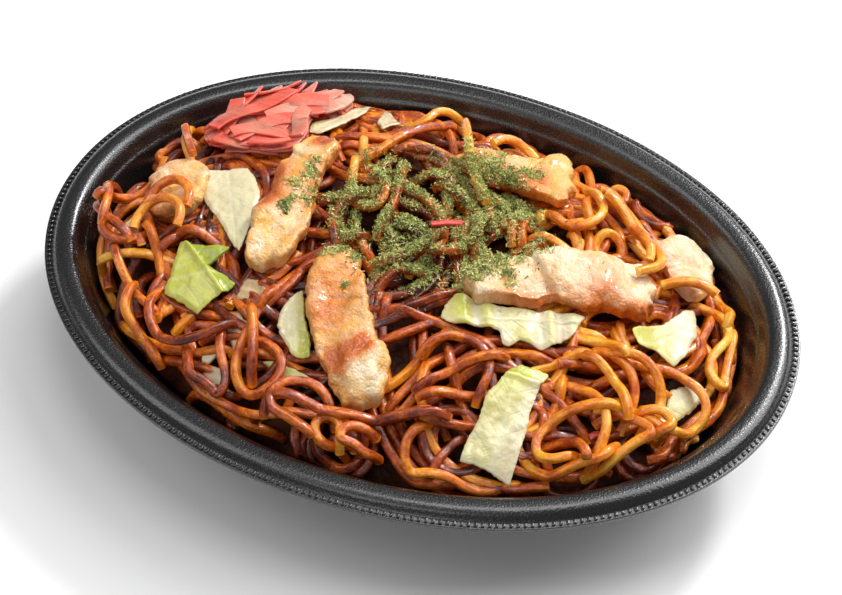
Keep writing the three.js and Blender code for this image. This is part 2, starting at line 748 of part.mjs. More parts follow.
function gingerSolid() {
  const random = seeded(88);
  const [mx, my] = middleOf(GINGER_FOOT);
  const foot = evenRing(GINGER_FOOT, 20);
  const moundTop = (x, y) => {
    const d = insidePolygon(GINGER_FOOT, x, y) ? edgeDistance(GINGER_FOOT, x, y) : 0;
    return seat(x, y) + 0.3 + (GINGER_TOP_Z - seat(x, y)) * Math.pow(clamp(d / 9, 0, 1), 0.5);
  };
  const ringAt = (level, top) => foot.map(([x, y]) => {
    const px = mx + (x - mx) * level;
    const py = my + (y - my) * level;
    return [px, py, top ? moundTop(px, py) : seat(px, py)];
  });
  const mound = ringSolid(
    [mx, my, moundTop(mx, my)],
    [ringAt(0.35, true), ringAt(0.62, true), ringAt(0.84, true), ringAt(0.94, true), ringAt(0.94, false), ringAt(0.5, false)],
    [mx, my, seat(mx, my)],
  );
  const field = new HeightField((x, y) => moundTop(x, y) - 1.0);
  const solids = [mound];
  for (let n = 0; n < 12; n += 1) {
    const across = (n + 0.5) / 12 - 0.5;
    const x = mx + 26 * across + 5 * (random() - 0.5) - 7;
    const y = my - 22 * across + 5 * (random() - 0.5) - 11;
    const row = [x, y, 58 + 34 * (random() - 0.5), 22 + 14 * random(), (random() - 0.5) * 90];
    let run = [];
    turnedPath(row).forEach((p) => {
      if (insidePolygon(GINGER_FOOT, ...p) && edgeDistance(GINGER_FOOT, ...p) > 1.6) run.push(p);
    });
    run = run.filter((p, i) => i === 0 || Math.hypot(p[0] - run[i - 1][0], p[1] - run[i - 1][1]) < 2);
    if (run.length < 10) continue;
    const path = drape(field, run, 1.6, 20);
    field.stamp(path, 0.9);
    solids.push(strandSolid(path, 2.0, 4, 0.62));
  }
  return joined(solids);
}

function barSolid({ from, to, half, thick }) {
  const line = [from, [(from[0] + to[0]) / 2, (from[1] + to[1]) / 2 + 0.4], to];
  return slabSolid({ line, half: [half, half, half], thick }, 4, 6, 0.0, 0);
}

const part = new THREE.Group();
part.add(namedMesh('tray', traySolid(), 0x1c1d1e, 0.35));
part.add(namedMesh('noodles', noodleSolid(), 0xa8561c, 0.4));
Object.entries(PORK).forEach(([name, spec], i) => {
  part.add(namedMesh(name, slabSolid(spec, 11, 10, 0.05, i * 1.7), 0xe0b070, 0.5));
});
Object.entries(LEAVES).forEach(([name, spec], i) => {
  part.add(namedMesh(name, leafSolid(spec, i * 1.3), 0xd4dc9c, 0.4));
});
part.add(namedMesh('red_ginger', gingerSolid(), 0xe8605c, 0.4));
part.add(namedMesh('ginger_strip', barSolid(GINGER_STRIP), 0xc8403c, 0.4));
part.add(namedMesh('ginger_crumb', barSolid(GINGER_CRUMB), 0xd85030, 0.4));

export default part;
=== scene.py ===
import math

import bpy
import numpy as np
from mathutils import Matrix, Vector, noise
from mathutils.bvhtree import BVHTree


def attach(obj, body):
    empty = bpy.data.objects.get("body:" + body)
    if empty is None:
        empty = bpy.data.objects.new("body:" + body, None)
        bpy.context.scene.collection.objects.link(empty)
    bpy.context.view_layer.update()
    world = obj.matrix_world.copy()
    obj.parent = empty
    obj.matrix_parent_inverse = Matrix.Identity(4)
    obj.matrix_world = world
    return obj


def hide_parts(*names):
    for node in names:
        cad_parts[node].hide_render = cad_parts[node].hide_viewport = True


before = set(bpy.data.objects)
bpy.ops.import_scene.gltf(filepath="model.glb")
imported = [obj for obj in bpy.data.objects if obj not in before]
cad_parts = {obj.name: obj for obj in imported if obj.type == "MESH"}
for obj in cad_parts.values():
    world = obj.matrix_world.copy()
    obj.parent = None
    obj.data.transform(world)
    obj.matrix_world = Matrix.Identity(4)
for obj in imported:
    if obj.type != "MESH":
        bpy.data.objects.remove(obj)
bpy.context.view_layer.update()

# ---------------------------------------------------------------------------
# Tray. One sheet of black foamed plastic, pressed hot over an oval mould: a
# flat floor, a leaning wall, a rolled rim and a thin flange round the outside.
# ---------------------------------------------------------------------------
MM = 0.001  # lengths are in millimetres, up from the tray's under side, and are scaled at the end
TRAY_LENGTH, TRAY_WIDTH, OVAL_POWER = 240.0, 176.0, 2.03
RIM_Z = 36.0
RIM_STEPS = 360
# how far in and how high: from the floor up the wall, over the rim and down outside
TRAY_PROFILE = [
    (34.0, 1.9), (29.2, 2.5), (26.4, 3.9), (24.9, 6.4), (21.6, 13.6), (17.5, 22.7), (14.1, 30.3),
    (13.0, 32.6), (12.1, 33.6), (11.3, 34.9), (10.3, 36.6), (8.9, 37.9), (7.2, 38.3), (5.4, 38.3),
    (3.8, 37.6), (2.7, 36.4), (2.0, 35.8), (1.0, 35.55), (0.25, 35.5), (0.05, 35.2), (0.05, 34.5),
    (0.3, 34.3), (1.6, 34.4), (2.9, 35.0), (4.4, 36.3), (6.2, 36.7), (8.2, 36.2), (9.9, 34.4),
    (11.6, 32.2), (14.35, 26.4), (18.7, 16.6), (23.2, 6.6), (25.2, 2.8), (27.4, 0.7), (30.6, 0.1), (34.0, 0.0),
]


def oval(t, inset):
    """Points on the tray's oval at angles t, moved in along its normal."""
    a, b, n = TRAY_LENGTH / 2, TRAY_WIDTH / 2, OVAL_POWER
    c, s = np.cos(t), np.sin(t)
    x = a * np.sign(c) * np.abs(c) ** (2 / n)
    y = b * np.sign(s) * np.abs(s) ** (2 / n)
    nx = np.sign(x) * np.abs(x / a) ** (n - 1) / a
    ny = np.sign(y) * np.abs(y / b) ** (n - 1) / b
    size = np.hypot(nx, ny)
    return x - nx / size * inset, y - ny / size * inset


def smooth_line(points, parts):
    """A smooth line through the points, with so many parts between each two."""
    p = np.array(points, float)
    p = np.vstack([2 * p[0] - p[1], p, 2 * p[-1] - p[-2]])
    u = np.arange(parts)[:, None] / parts
    runs = []
    for a, b, c, d in zip(p[:-3], p[1:-2], p[2:-1], p[3:]):
        runs.append(0.5 * (2 * b + (c - a) * u + (2 * a - 5 * b + 4 * c - d) * u**2 + (3 * b - a - 3 * c + d) * u**3))
    return np.vstack(runs + [p[-2:-1]])


def full_turn(steps):
    """Angles all the way round, in even steps."""
    return np.linspace(0, 2 * np.pi, steps, endpoint=False)


def oval_ring(steps, inset, z):
    """A level ring of points on the tray's oval."""
    return np.column_stack([*oval(full_turn(steps), inset), np.full(steps, z)])


def bow(a, b, c):
    """Smooth noise at a place, from about -1 to 1."""
    return noise.noise(Vector((a, b, c)))


def bumps(places, *layers):
    """Layers of smooth noise over places in plan, each as how high, how close and its seed."""
    return np.array([sum(high * bow(x * close, y * close, seed) for high, close, seed in layers) for x, y in places])


def new_object(name, points, edges=(), faces=(), **values):
    """A mesh object from points in metres, with its values kept as attributes."""
    mesh = bpy.data.meshes.new(name)
    mesh.from_pydata(points, edges, faces)
    if faces:
        mesh.validate()
    for key, data in values.items():
        data = np.asarray(data, np.float32)
        kind, field = ("FLOAT", "value") if data.ndim == 1 else ("FLOAT_VECTOR", "vector")
        mesh.attributes.new(key, kind, "POINT").data.foreach_set(field, data.ravel())
    piece = bpy.data.objects.new(name, mesh)
    bpy.context.collection.objects.link(piece)
    return piece


def new_piece(name, points, faces, finish, smooth=True, **values):
    """A skin in its finish, from points in millimetres."""
    piece = new_object(name, (np.asarray(points, float) * MM).tolist(), faces=faces, **values)
    piece.data.materials.append(finish)
    if smooth:
        piece.data.polygons.foreach_set("use_smooth", [True] * len(piece.data.polygons))
    return piece


def skin_faces(total, count):
    """Faces of a closed skin: rings of so many points, then one point at each end."""
    first, last = total - 2, total - 1
    faces = []
    for i in range(count):
        j = (i + 1) % count
        faces.append((first, i, j))
        for a in range(0, first - count, count):
            faces.append((a + i, a + count + i, a + count + j, a + j))
        a = first - count
        faces.append((last, a + j, a + i))
    return faces


def wired(tree, kind, sockets=None, **settings):
    """One node of a tree, set, and joined to the nodes and values it is given."""
    node = tree.nodes.new(kind)
    for key, value in settings.items():
        setattr(node, key, value)
    for key, value in (sockets or {}).items():
        if isinstance(value, bpy.types.Node):
            value = value.outputs[0]
        value = getattr(value, "socket", value)
        if isinstance(value, bpy.types.NodeSocket):
            tree.links.new(value, node.inputs[key])
        else:
            node.inputs[key].default_value = value
    return node


class Val:
    """A value in a finish, with its sums written as plain arithmetic."""

    def __init__(self, tree, socket):
        self.tree, self.socket = tree, socket

    def sum(self, kind, other):
        node = wired(self.tree, "ShaderNodeMath", {0: self, 1: other}, operation=kind)
        return Val(self.tree, node.outputs[0])

    def __add__(self, other):
        return self.sum("ADD", other)

    def __sub__(self, other):
        return self.sum("SUBTRACT", other)

    def __mul__(self, other):
        return self.sum("MULTIPLY", other)

    __radd__ = __add__

    def clip(self):
        return self.sum("MAXIMUM", 0.0).sum("MINIMUM", 1.0)


class Finish:
    """A finish under construction: what a surface is coloured and lit by."""

    def __init__(self, name):
        self.material = bpy.data.materials.new(name)
        self.material.use_nodes = True
        self.tree = self.material.node_tree
        self.tree.nodes.clear()

    def node(self, kind, sockets=None, out=0, **settings):
        return Val(self.tree, wired(self.tree, kind, sockets, **settings).outputs[out])

    def place(self):
        return self.node("ShaderNodeTexCoord", out="Object")

    def value(self, name):
        return self.node("ShaderNodeAttribute", out="Fac", attribute_name=name)

    def cloud(self, scale, detail, turn=None, stretch=None):
        at = self.place()
        if stretch:
            at = self.node("ShaderNodeMapping", {"Vector": at, "Rotation": turn, "Scale": stretch})
        return self.node("ShaderNodeTexNoise", {"Vector": at, "Scale": scale, "Detail": detail, "Roughness": 0.55})

    def streaks(self, x, y, scale):
        """Noise over two values of the surface, instead of over its place."""
        at = self.node("ShaderNodeCombineXYZ", {"X": x, "Y": y})
        return self.node("ShaderNodeTexNoise", {"Vector": at, "Scale": scale, "Detail": 4.0}, noise_dimensions="2D")

    def ramp(self, value, stops):
        node = wired(self.tree, "ShaderNodeValToRGB", {"Fac": value})
        elements = node.color_ramp.elements
        while len(elements) < len(stops):
            elements.new(0.5)
        for stop, (at, colour) in zip(elements, stops):
            stop.position = at
            stop.color = (*colour, 1.0)
        return Val(self.tree, node.outputs[0])

    def blend(self, share, a, b):
        return self.node("ShaderNodeMix", {0: share, 6: a, 7: b}, out=2, data_type="RGBA")

    def bump(self, height, deep, under=None):
        sockets = {"Height": height, "Distance": deep, "Strength": 1.0}
        if under is not None:
            sockets["Normal"] = under
        return self.node("ShaderNodeBump", sockets)

    def close(self, colour, rough, normal=None, shine=0.5, coat=None, flesh=None):
        """Ends a finish: coat is its weight and roughness, flesh how light goes through it."""
        sockets = {"Base Color": colour, "Roughness": rough, "Specular IOR Level": shine}
        if normal is not None:
            sockets["Normal"] = normal
        if coat:
            sockets["Coat Weight"], sockets["Coat Roughness"] = coat
        if flesh:
            sockets["Subsurface Weight"], sockets["Subsurface Radius"], sockets["Subsurface Scale"] = flesh
        shader = wired(self.tree, "ShaderNodeBsdfPrincipled", sockets)
        wired(self.tree, "ShaderNodeOutputMaterial", {"Surface": shader})
        return self.material


def foam_finish():
    f = Finish("black_foam")
    cells = f.node("ShaderNodeTexVoronoi", {"Vector": f.place(), "Scale": 1500.0}, feature="F1")
    fine, swell = f.cloud(2400.0, 2.0), f.cloud(45.0, 2.0)
    pits = f.bump(cells * 0.7 + fine * 0.6, 0.00011)
    pits = f.bump(swell, 0.00025, pits)
    colour = f.ramp(cells, [(0.0, (0.007, 0.0072, 0.008)), (0.6, (0.004, 0.0042, 0.0046)),
                            (1.0, (0.002, 0.002, 0.0024))])
    return f.close(colour, (0.20 + fine * 0.14).clip(), pits, shine=0.7, coat=(0.6, 0.2))


black_foam = foam_finish()
rings = [oval_ring(RIM_STEPS, inset, z) for inset, z in smooth_line(TRAY_PROFILE, 4)]
floor_in = [rings[0] * [k, k, 1] for k in (0.3, 0.6, 0.85)]
floor_out = [rings[-1] * [k, k, 1] for k in (0.85, 0.6, 0.3)]
points = np.vstack([*floor_in, *rings, *floor_out, [[0, 0, TRAY_PROFILE[0][1]], [0, 0, 0]]])
# pressed foam is never quite true, least of all at the rim
wave = np.array([bow(x * 0.03, y * 0.03, z * 0.05) for x, y, z in points])
points[:, 2] += 0.22 * wave * np.clip(points[:, 2] / 30, 0, 1)
tray = new_piece("tray_shell", points, skin_faces(len(points), RIM_STEPS), black_foam)
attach(tray, "root")
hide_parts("tray")

# ---------------------------------------------------------------------------
# Milled edge. The cutter that stamps the tray out leaves a row of small teeth
# on the flange, two millimetres apart all the way round.
# ---------------------------------------------------------------------------
TEETH = 326
TOOTH = (1.25, 0.95, 0.8)
TEETH_INSET, TEETH_Z, TEETH_STEPS = 1.35, 35.8, 1200


def new_tree(name, **inputs):
    """An empty geometry tree, with what it is given and the place for its result."""
    tree = bpy.data.node_groups.new(name, "GeometryNodeTree")
    tree.interface.new_socket("Geometry", in_out="INPUT", socket_type="NodeSocketGeometry")
    for label, kind in inputs.items():
        tree.interface.new_socket(label, in_out="INPUT", socket_type="NodeSocket" + kind)
    tree.interface.new_socket("Geometry", in_out="OUTPUT", socket_type="NodeSocketGeometry")
    return tree, tree.nodes.new("NodeGroupInput").outputs, tree.nodes.new("NodeGroupOutput").inputs


def end_tree(tree, shape, given, result):
    """Ends a tree with the shape in the finish it is given."""
    coat = wired(tree, "GeometryNodeSetMaterial", {"Geometry": shape, "Material": given["Finish"]})
    tree.links.new(coat.outputs[0], result[0])


def grow(piece, tree, **sizes):
    """Runs a geometry tree on a piece and keeps the result as a plain mesh."""
    modifier = piece.modifiers.new("grow", "NODES")
    modifier.node_group = tree
    for item in tree.interface.items_tree:
        if item.item_type == "SOCKET" and item.in_out == "INPUT" and item.name in sizes:
            modifier[item.identifier] = sizes[item.name]
    piece.update_tag()
    seen = piece.evaluated_get(bpy.context.evaluated_depsgraph_get())
    mesh = bpy.data.meshes.new_from_object(seen)
    piece.modifiers.clear()
    piece.data = mesh


tree, given, result = new_tree("milled_edge", Teeth="Int", Size="Vector", Finish="Material")
curve = wired(tree, "GeometryNodeMeshToCurve", {0: given["Geometry"]})
steps = wired(tree, "GeometryNodeResampleCurve", {"Curve": curve, "Count": given["Teeth"]})
block = wired(tree, "GeometryNodeMeshCube", {"Size": given["Size"]})
soft = wired(tree, "GeometryNodeSubdivisionSurface", {0: block, "Level": 2, "Edge Crease": 0.55})
along = wired(tree, "GeometryNodeInputTangent")
turn = wired(tree, "FunctionNodeAlignRotationToVector", {"Vector": along}, axis="Y", pivot_axis="Z")
jig = wired(tree, "FunctionNodeRandomValue", {"Min": (0.9, 0.88, 0.82), "Max": (1.08, 1.1, 1.12), "Seed": 7},
            data_type="FLOAT_VECTOR")
row = wired(tree, "GeometryNodeInstanceOnPoints",
            {"Points": steps, "Instance": soft, "Rotation": turn, "Scale": jig})
whole = wired(tree, "GeometryNodeRealizeInstances", {0: row})
end_tree(tree, wired(tree, "GeometryNodeSetShadeSmooth", {0: whole}), given, result)

path = (oval_ring(TEETH_STEPS, TEETH_INSET, TEETH_Z) * MM).tolist()
teeth = new_object("tray_teeth", path, [(i, (i + 1) % TEETH_STEPS) for i in range(TEETH_STEPS)])
grow(teeth, tree, Teeth=TEETH, Size=tuple(v * MM for v in TOOTH), Finish=black_foam)
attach(teeth, "root")
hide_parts("tray")

# ---------------------------------------------------------------------------
# Bed. The middle of the heap, where noodles are packed and steeped in sauce:
# a mass that fills the tray and stays a few millimetres under the top; its
# sauce brown is darkened to near black as painted shade between the strands.
# ---------------------------------------------------------------------------
HEAP_MIDDLE, HEAP_HALF = (1.5, 0.8), (102.0, 73.0)
HEAP_POWER, HEAP_EDGE, HEAP_SLOPE, HEAP_RISE, HEAP_ROUND = 2.2, -6.0, -0.05, 22.0, 0.7
BED_DROP, SEAT_DROP = 9.0, 1.65
BED_STEPS, BED_GAP = 180, 1.8
# how the heap's top falls to the near side, to the far side and outside its foot
NEAR_FALL, FAR_FALL, FOOT_FALL = 0.04, 0.01, 20
# the inner wall's upper edge, and how far it comes in over how deep a fall
WALL_IN, WALL_Z, WALL_RUN, WALL_FALL = 12.5, 33.5, 12.7, 28.5


def heap_ratio(x, y):
    """How far out a place is: nothing in the heap's middle, 1 at its foot."""
    n = HEAP_POWER
    u = np.abs(x - HEAP_MIDDLE[0]) / HEAP_HALF[0]
    v = np.abs(y - HEAP_MIDDLE[1]) / HEAP_HALF[1]
    return (u**n + v**n) ** (1 / n)


def heap_top(x, y):
    """Level of the noodles' tops, as the solids have it."""
    r = heap_ratio(x, y)
    edge = RIM_Z + HEAP_EDGE + HEAP_SLOPE * x - np.where(y > 0, FAR_FALL, NEAR_FALL) * np.abs(y)
    rise = HEAP_RISE * np.maximum(0, 1 - np.minimum(r, 1) ** 2) ** HEAP_ROUND
    return edge + rise - FOOT_FALL * np.maximum(0, r - 1)


def seat(x, y):
    """Level on which the toppings lie."""
    return heap_top(x, y) - SEAT_DROP


def bed_top(x, y):
    """Level of the bed, which falls away near the wall."""
    return heap_top(x, y) - BED_DROP - 60 * np.maximum(0, heap_ratio(x, y) - 0.86) ** 1.5


def wall_inset(z):
    """How far in from the oval the wall's inside is at a level."""
    return WALL_IN + np.maximum(0, WALL_Z - z) * WALL_RUN / WALL_FALL


def sauce_finish():
    f = Finish("steeped_noodles")
    lump = f.cloud(160.0, 4.0)
    # near black at the low end is painted shade, so gaps between strands look shadowed; sauce brown above
    colour = f.ramp(lump, [(0.3, (0.012, 0.003, 0.001)), (0.55, (0.06, 0.012, 0.003)), (0.8, (0.15, 0.034, 0.006))])
    return f.close(colour, (0.4 + lump * 0.3).clip(), f.bump(lump, 0.0025), shine=0.15)


around = full_turn(BED_STEPS)
rim = np.column_stack(oval(around, 19.5))
# the rim is as far in as the wall is at the bed's own level, found in three passes
for _ in range(3):
    rim = np.column_stack(oval(around, wall_inset(bed_top(*rim.T)) + BED_GAP))
rings = []
for k in [*np.linspace(0.04, 0.9, 26), *np.linspace(0.92, 1.0, 6)]:
    plan = rim * k
    rings.append(np.column_stack([plan, bed_top(*plan.T) + bumps(plan, (1.6, 0.11, 3.0), (0.8, 0.3, 8.0))]))
rings += [oval_ring(BED_STEPS, inset, z) for inset, z in ((25.0, 10.0), (27.5, 5.8), (36.0, 2.4))]
points = np.vstack([*rings, [[0, 0, bed_top(0.0, 0.0)], [0, 0, 2.4]]])
bed = new_piece("noodle_bed", points, skin_faces(len(points), BED_STEPS), sauce_finish())
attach(bed, "root")
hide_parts("noodles")

# ---------------------------------------------------------------------------
# Pork. Strips of belly and loin cut a few millimetres thick and fried: pale
# meat, golden where it met the pan, with browned edges and ragged ends.
# ---------------------------------------------------------------------------
# line along the strip, half widths at even steps, thickness and how golden it is;
# spots: share of the length, side from -1 to 1, size, and strength of the brown
# (pale fat if less than 0); creases: share of the length, slant, depth and step
PORK = {
    "pork_left": dict(
        line=[(-84.5, 10), (-80.5, 0), (-74.5, -11)], half=(7.4, 8.8, 8.8, 7.0), thick=5.0, gold=0.86,
        spots=[(0.05, 0.0, 0.10, 0.4), (0.95, -0.5, 0.16, 0.3), (0.5, -0.95, 0.2, 0.25), (0.4, 0.4, 0.15, -0.3)],
        creases=[(0.55, 0.5, 0.5, 0.3)]),
    "pork_ginger_side": dict(
        line=[(-43, 32), (-43.4, 14), (-41.4, -5), (-39.3, -24.6)], half=(5.6, 7.3, 8.0, 6.6), thick=6.4, gold=0.92,
        spots=[(0.05, 0.1, 0.10, 2.0), (0.17, -0.1, 0.11, -0.55), (0.42, -0.75, 0.13, 1.5), (0.60, -0.6, 0.10, 2.2),
        (0.5, 0.9, 0.2, 0.6), (0.25, 0.95, 0.2, 0.35), (0.78, 0.8, 0.12, 0.3), (0.92, -0.2, 0.14, -0.5),
        (0.62, 0.0, 0.1, -0.2)],
        creases=[(0.28, -0.6, 0.6, -0.3), (0.72, 0.8, 0.8, 0.5)]),
    "pork_front": dict(
        line=[(-18.6, -13.2), (-14, -28), (-4.2, -41), (8.2, -53.8)], half=(7.0, 8.5, 8.8, 8.4), thick=6.4,
        gold=0.88,
        spots=[(0.25, -0.3, 0.2, 0.6), (0.45, -0.4, 0.14, 0.7), (0.70, 0.25, 0.08, 1.8), (0.72, -0.5, 0.09, 1.8),
        (0.87, 0.1, 0.16, -0.9), (0.1, 0.6, 0.12, 0.4), (0.35, 0.9, 0.16, 0.4), (0.52, 0.1, 0.1, -0.25)],
        creases=[(0.76, 0.5, 0.9, 0.3), (0.36, -0.4, 0.4, 0.0)]),
    "pork_back": dict(
        line=[(-1, 41), (12, 43.2), (24, 46), (34, 49.3)], half=(5.6, 9.2, 11.0, 12.0), thick=5.6, gold=1.10,
        spots=[(0.3, -0.95, 0.22, 1.2), (0.55, -0.95, 0.16, 0.9), (0.72, -0.2, 0.07, 1.0), (0.1, -0.7, 0.16, 0.9),
        (0.95, -0.9, 0.12, 0.5), (0.35, 0.3, 0.14, -0.5), (0.85, 0.5, 0.12, -0.2)],
        creases=[(0.55, -0.7, 0.9, 0.7)]),
    "pork_long": dict(
        line=[(19.8, -10.4), (38, 0.8), (55, 10.6), (71.8, 14.4)], half=(6.0, 8.5, 10.7, 11.0), thick=6.8, gold=0.42,
        spots=[(0.3, -0.95, 0.2, 0.8), (0.7, -0.95, 0.26, 0.9), (0.05, 0.1, 0.1, 0.5), (0.96, -0.9, 0.12, 0.9),
        (0.55, 0.35, 0.16, -0.5), (0.85, 0.3, 0.18, -0.4), (0.35, 0.5, 0.1, -0.3), (0.78, -0.3, 0.05, 0.4)],
        creases=[(0.41, 0.3, 1.1, 0.8), (0.2, -0.5, 0.5, 0.0), (0.86, 0.6, 0.5, -0.3)]),
    "pork_right": dict(
        line=[(69, 44.5), (75.4, 38.3), (78.4, 31), (80, 23.5)], half=(7.0, 9.6, 8.6, 5.2), thick=5.4, gold=0.20,
        spots=[(0.3, -0.9, 0.2, 0.3), (0.75, -0.95, 0.16, 0.6), (0.5, 0.1, 0.06, 0.3), (0.95, 0.2, 0.1, 0.4),
        (0.3, 0.3, 0.14, -0.4)],
        creases=[(0.6, 0.5, 0.7, 0.2)]),
}
PORK_STATIONS, PORK_SIDES = 170, 84


def pork_finish():
    f = Finish("fried_pork")
    gold, sear, across = f.value("gold"), f.value("sear"), f.value("grain")
    mottle, fine, broad = f.cloud(330.0, 5.0), f.cloud(1500.0, 4.0), f.cloud(95.0, 3.0)
    fibre = f.streaks(across, f.value("run") * 0.12, 9.0)
    freckle = (f.cloud(250.0, 3.0) - 0.57).clip() * 4.0
    share = (gold + (broad - 0.5) * 2.2 + (mottle - 0.5) * 2.4 + (fine - 0.5) * 0.9).clip()
    pale = f.blend((fine * 1.6 - 0.3).clip(), (0.92, 0.70, 0.41, 1), (0.97, 0.87, 0.66, 1))
    golden = f.blend((mottle * 1.8 - 0.4).clip(), (0.83, 0.34, 0.040, 1), (0.93, 0.57, 0.17, 1))
    colour = f.blend(share, pale, golden)
    brown = (sear * (0.55 + mottle * 0.9) + (fibre - 0.62).clip() * 0.9 + freckle * share * 0.45).clip()
    burnt = f.blend((sear * 0.5 + (fine - 0.5) * 1.2).clip(), (0.80, 0.200, 0.012, 1), (0.46, 0.080, 0.005, 1))
    colour = f.blend(brown, colour, burnt)
    normal = f.bump(fibre, 0.0003)
    normal = f.bump(fine * 0.45 + mottle * 0.85, 0.0009, normal)
    return f.close(colour, (0.12 + fine * 0.34).clip(), normal,
                   coat=(0.45, 0.07), flesh=(0.06, (0.9, 0.5, 0.25), 0.002))


def strip_of_pork(name, finish, seed, line, half, thick, gold, spots, creases):
    stations, sides = PORK_STATIONS, PORK_SIDES
    curve = smooth_line(line, 40)
    steps = np.concatenate([[0], np.cumsum(np.hypot(*np.diff(curve, axis=0).T))])
    length = steps[-1]
    # stations are closest together at the ends, where the outline turns
    u = 0.5 - 0.5 * np.cos(np.pi * (np.arange(stations) + 0.35) / (stations - 0.3))
    px, py = (np.interp(u * length, steps, curve[:, k]) for k in (0, 1))
    dx, dy = np.gradient(px), np.gradient(py)
    size = np.hypot(dx, dy)
    dx, dy = dx / size, dy / size
    f = u * (len(half) - 1)
    i = np.minimum(len(half) - 2, f.astype(int))
    g = f - i
    s = g * g * (3 - 2 * g)
    width = np.array(half)[i] * (1 - s) + np.array(half)[i + 1] * s
    end = np.maximum(0, 1 - np.abs(2 * u - 1) ** 14) ** 0.45
    # a section like a rounded box, rough along both of its edges
    phi = full_turn(sides)
    c = np.sign(np.cos(phi)) * np.abs(np.cos(phi)) ** 0.6
    t = np.sign(np.sin(phi)) * np.abs(np.sin(phi)) ** 0.45

    def rough_edge(run, edge):
        return (1 + 0.24 * bow(run * 0.13, edge * 1.2, seed) + 0.10 * bow(run * 0.4, edge * 2.0, seed + 5)
                + 0.03 * bow(run * 1.1, edge * 2.0, seed + 7))

    rag = np.array([[rough_edge(a * length, edge) for edge in np.sign(np.cos(phi))] for a in u])
    side = c[None, :] * (width * end)[:, None] * rag
    x = px[:, None] - dy[:, None] * side
    y = py[:, None] + dx[:, None] * side

    def tear(a, s):
        """How far a torn end reaches out or in."""
        ragged = 2.6 * bow(s * 0.22, a * 2, seed + 9) + 0.6 * bow(s * 0.6, a * 2, seed + 4)
        return ragged * abs(2 * a - 1) ** 6 * np.sign(2 * a - 1)

    torn = np.array([[tear(a, s) for s in row] for a, row in zip(u, side)])
    x, y = x + dx[:, None] * torn, y + dy[:, None] * torn
    swell = 1 + 0.16 * np.sin(7 * u[:, None] + 3 * np.cos(phi)[None, :] + seed)
    z = seat(x, y) + thick * (end**0.6)[:, None] * np.where(t > 0, swell, 1) * (t[None, :] + 1) / 2 + thick * 0.06
    grid = np.stack([x, y, z], axis=2)
    a = np.roll(grid, -1, 1) - np.roll(grid, 1, 1)
    b = np.gradient(grid, axis=0)
    normal = np.cross(a, b)
    normal /= np.linalg.norm(normal, axis=2, keepdims=True) + 1e-9
    if normal[stations // 2, sides // 4, 2] < 0:
        normal = -normal
    flat = grid.reshape(-1, 3)
    relief = np.array([0.9 * noise.noise(Vector(p) * 0.13 + Vector((seed, 0, 0))) + 0.55 * noise.noise(Vector(p) * 0.3)
                       + 0.16 * noise.noise(Vector(p) * 0.8) + 0.04 * noise.noise(Vector(p) * 2.0) for p in flat])
    grooves = np.array([abs(bow(p[0] * 0.35 + p[1] * 0.1, p[1] * 0.25, seed + 2.0)) for p in flat])
    relief -= 0.9 * np.clip(0.12 - grooves, 0, 1)
    up = np.clip(t, -0.2, 1)[None, :].repeat(stations, 0).reshape(-1)
    for at, slant, depth, step in creases:
        s = ((u[:, None] - at) * length + slant * side).reshape(-1)
        dent = step * np.tanh(s / 1.2) - depth * np.exp(-((s / 0.9) ** 2))
        relief += dent * np.exp(-((s / 9) ** 2)) * (up > 0.1)
    relief = relief * np.where(up > -0.1, 1, 0.2) * (0.35 + 0.65 * end[:, None].repeat(sides, 1).reshape(-1))
    flat = flat + normal.reshape(-1, 3) * relief[:, None]
    across = np.cos(phi)[None, :].repeat(stations, 0).reshape(-1)
    run = u[:, None].repeat(sides, 1).reshape(-1)
    sear, rich = np.zeros(len(flat)), np.full(len(flat), gold)
    for at, where, wide, strength in spots:
        d = np.hypot((run - at) * length / 20, (across - where) * 0.5)
        near = np.exp(-((d / (wide * 2.2)) ** 2))
        sear += max(strength, 0) * near
        rich += min(strength, 0) * near
    sear += 0.35 * np.clip(np.abs(across) - 0.8, 0, 1) * 4 * (up < 0.6)
    tips = [[*(grid[k].mean(0)[:2] + sign * 0.15 * np.array([dx[k], dy[k]])), grid[k, :, 2].mean()]
            for k, sign in ((0, -1), (-1, 1))]
    points = np.vstack([flat, tips])
    faces = [tuple(reversed(q)) for q in skin_faces(len(points), sides)]
    extra = lambda v: np.concatenate([v, [v[0], v[-1]]])
    piece = new_piece(name + "_slice", points, faces, finish,
                      sear=extra(sear), gold=extra(rich), grain=extra(across), run=extra(run * length))
    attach(piece, "root")
    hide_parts(name)
    return piece


fried_pork = pork_finish()
pork_pieces = [strip_of_pork(name, fried_pork, 3.7 * k + 1, **spec) for k, (name, spec) in enumerate(PORK.items())]

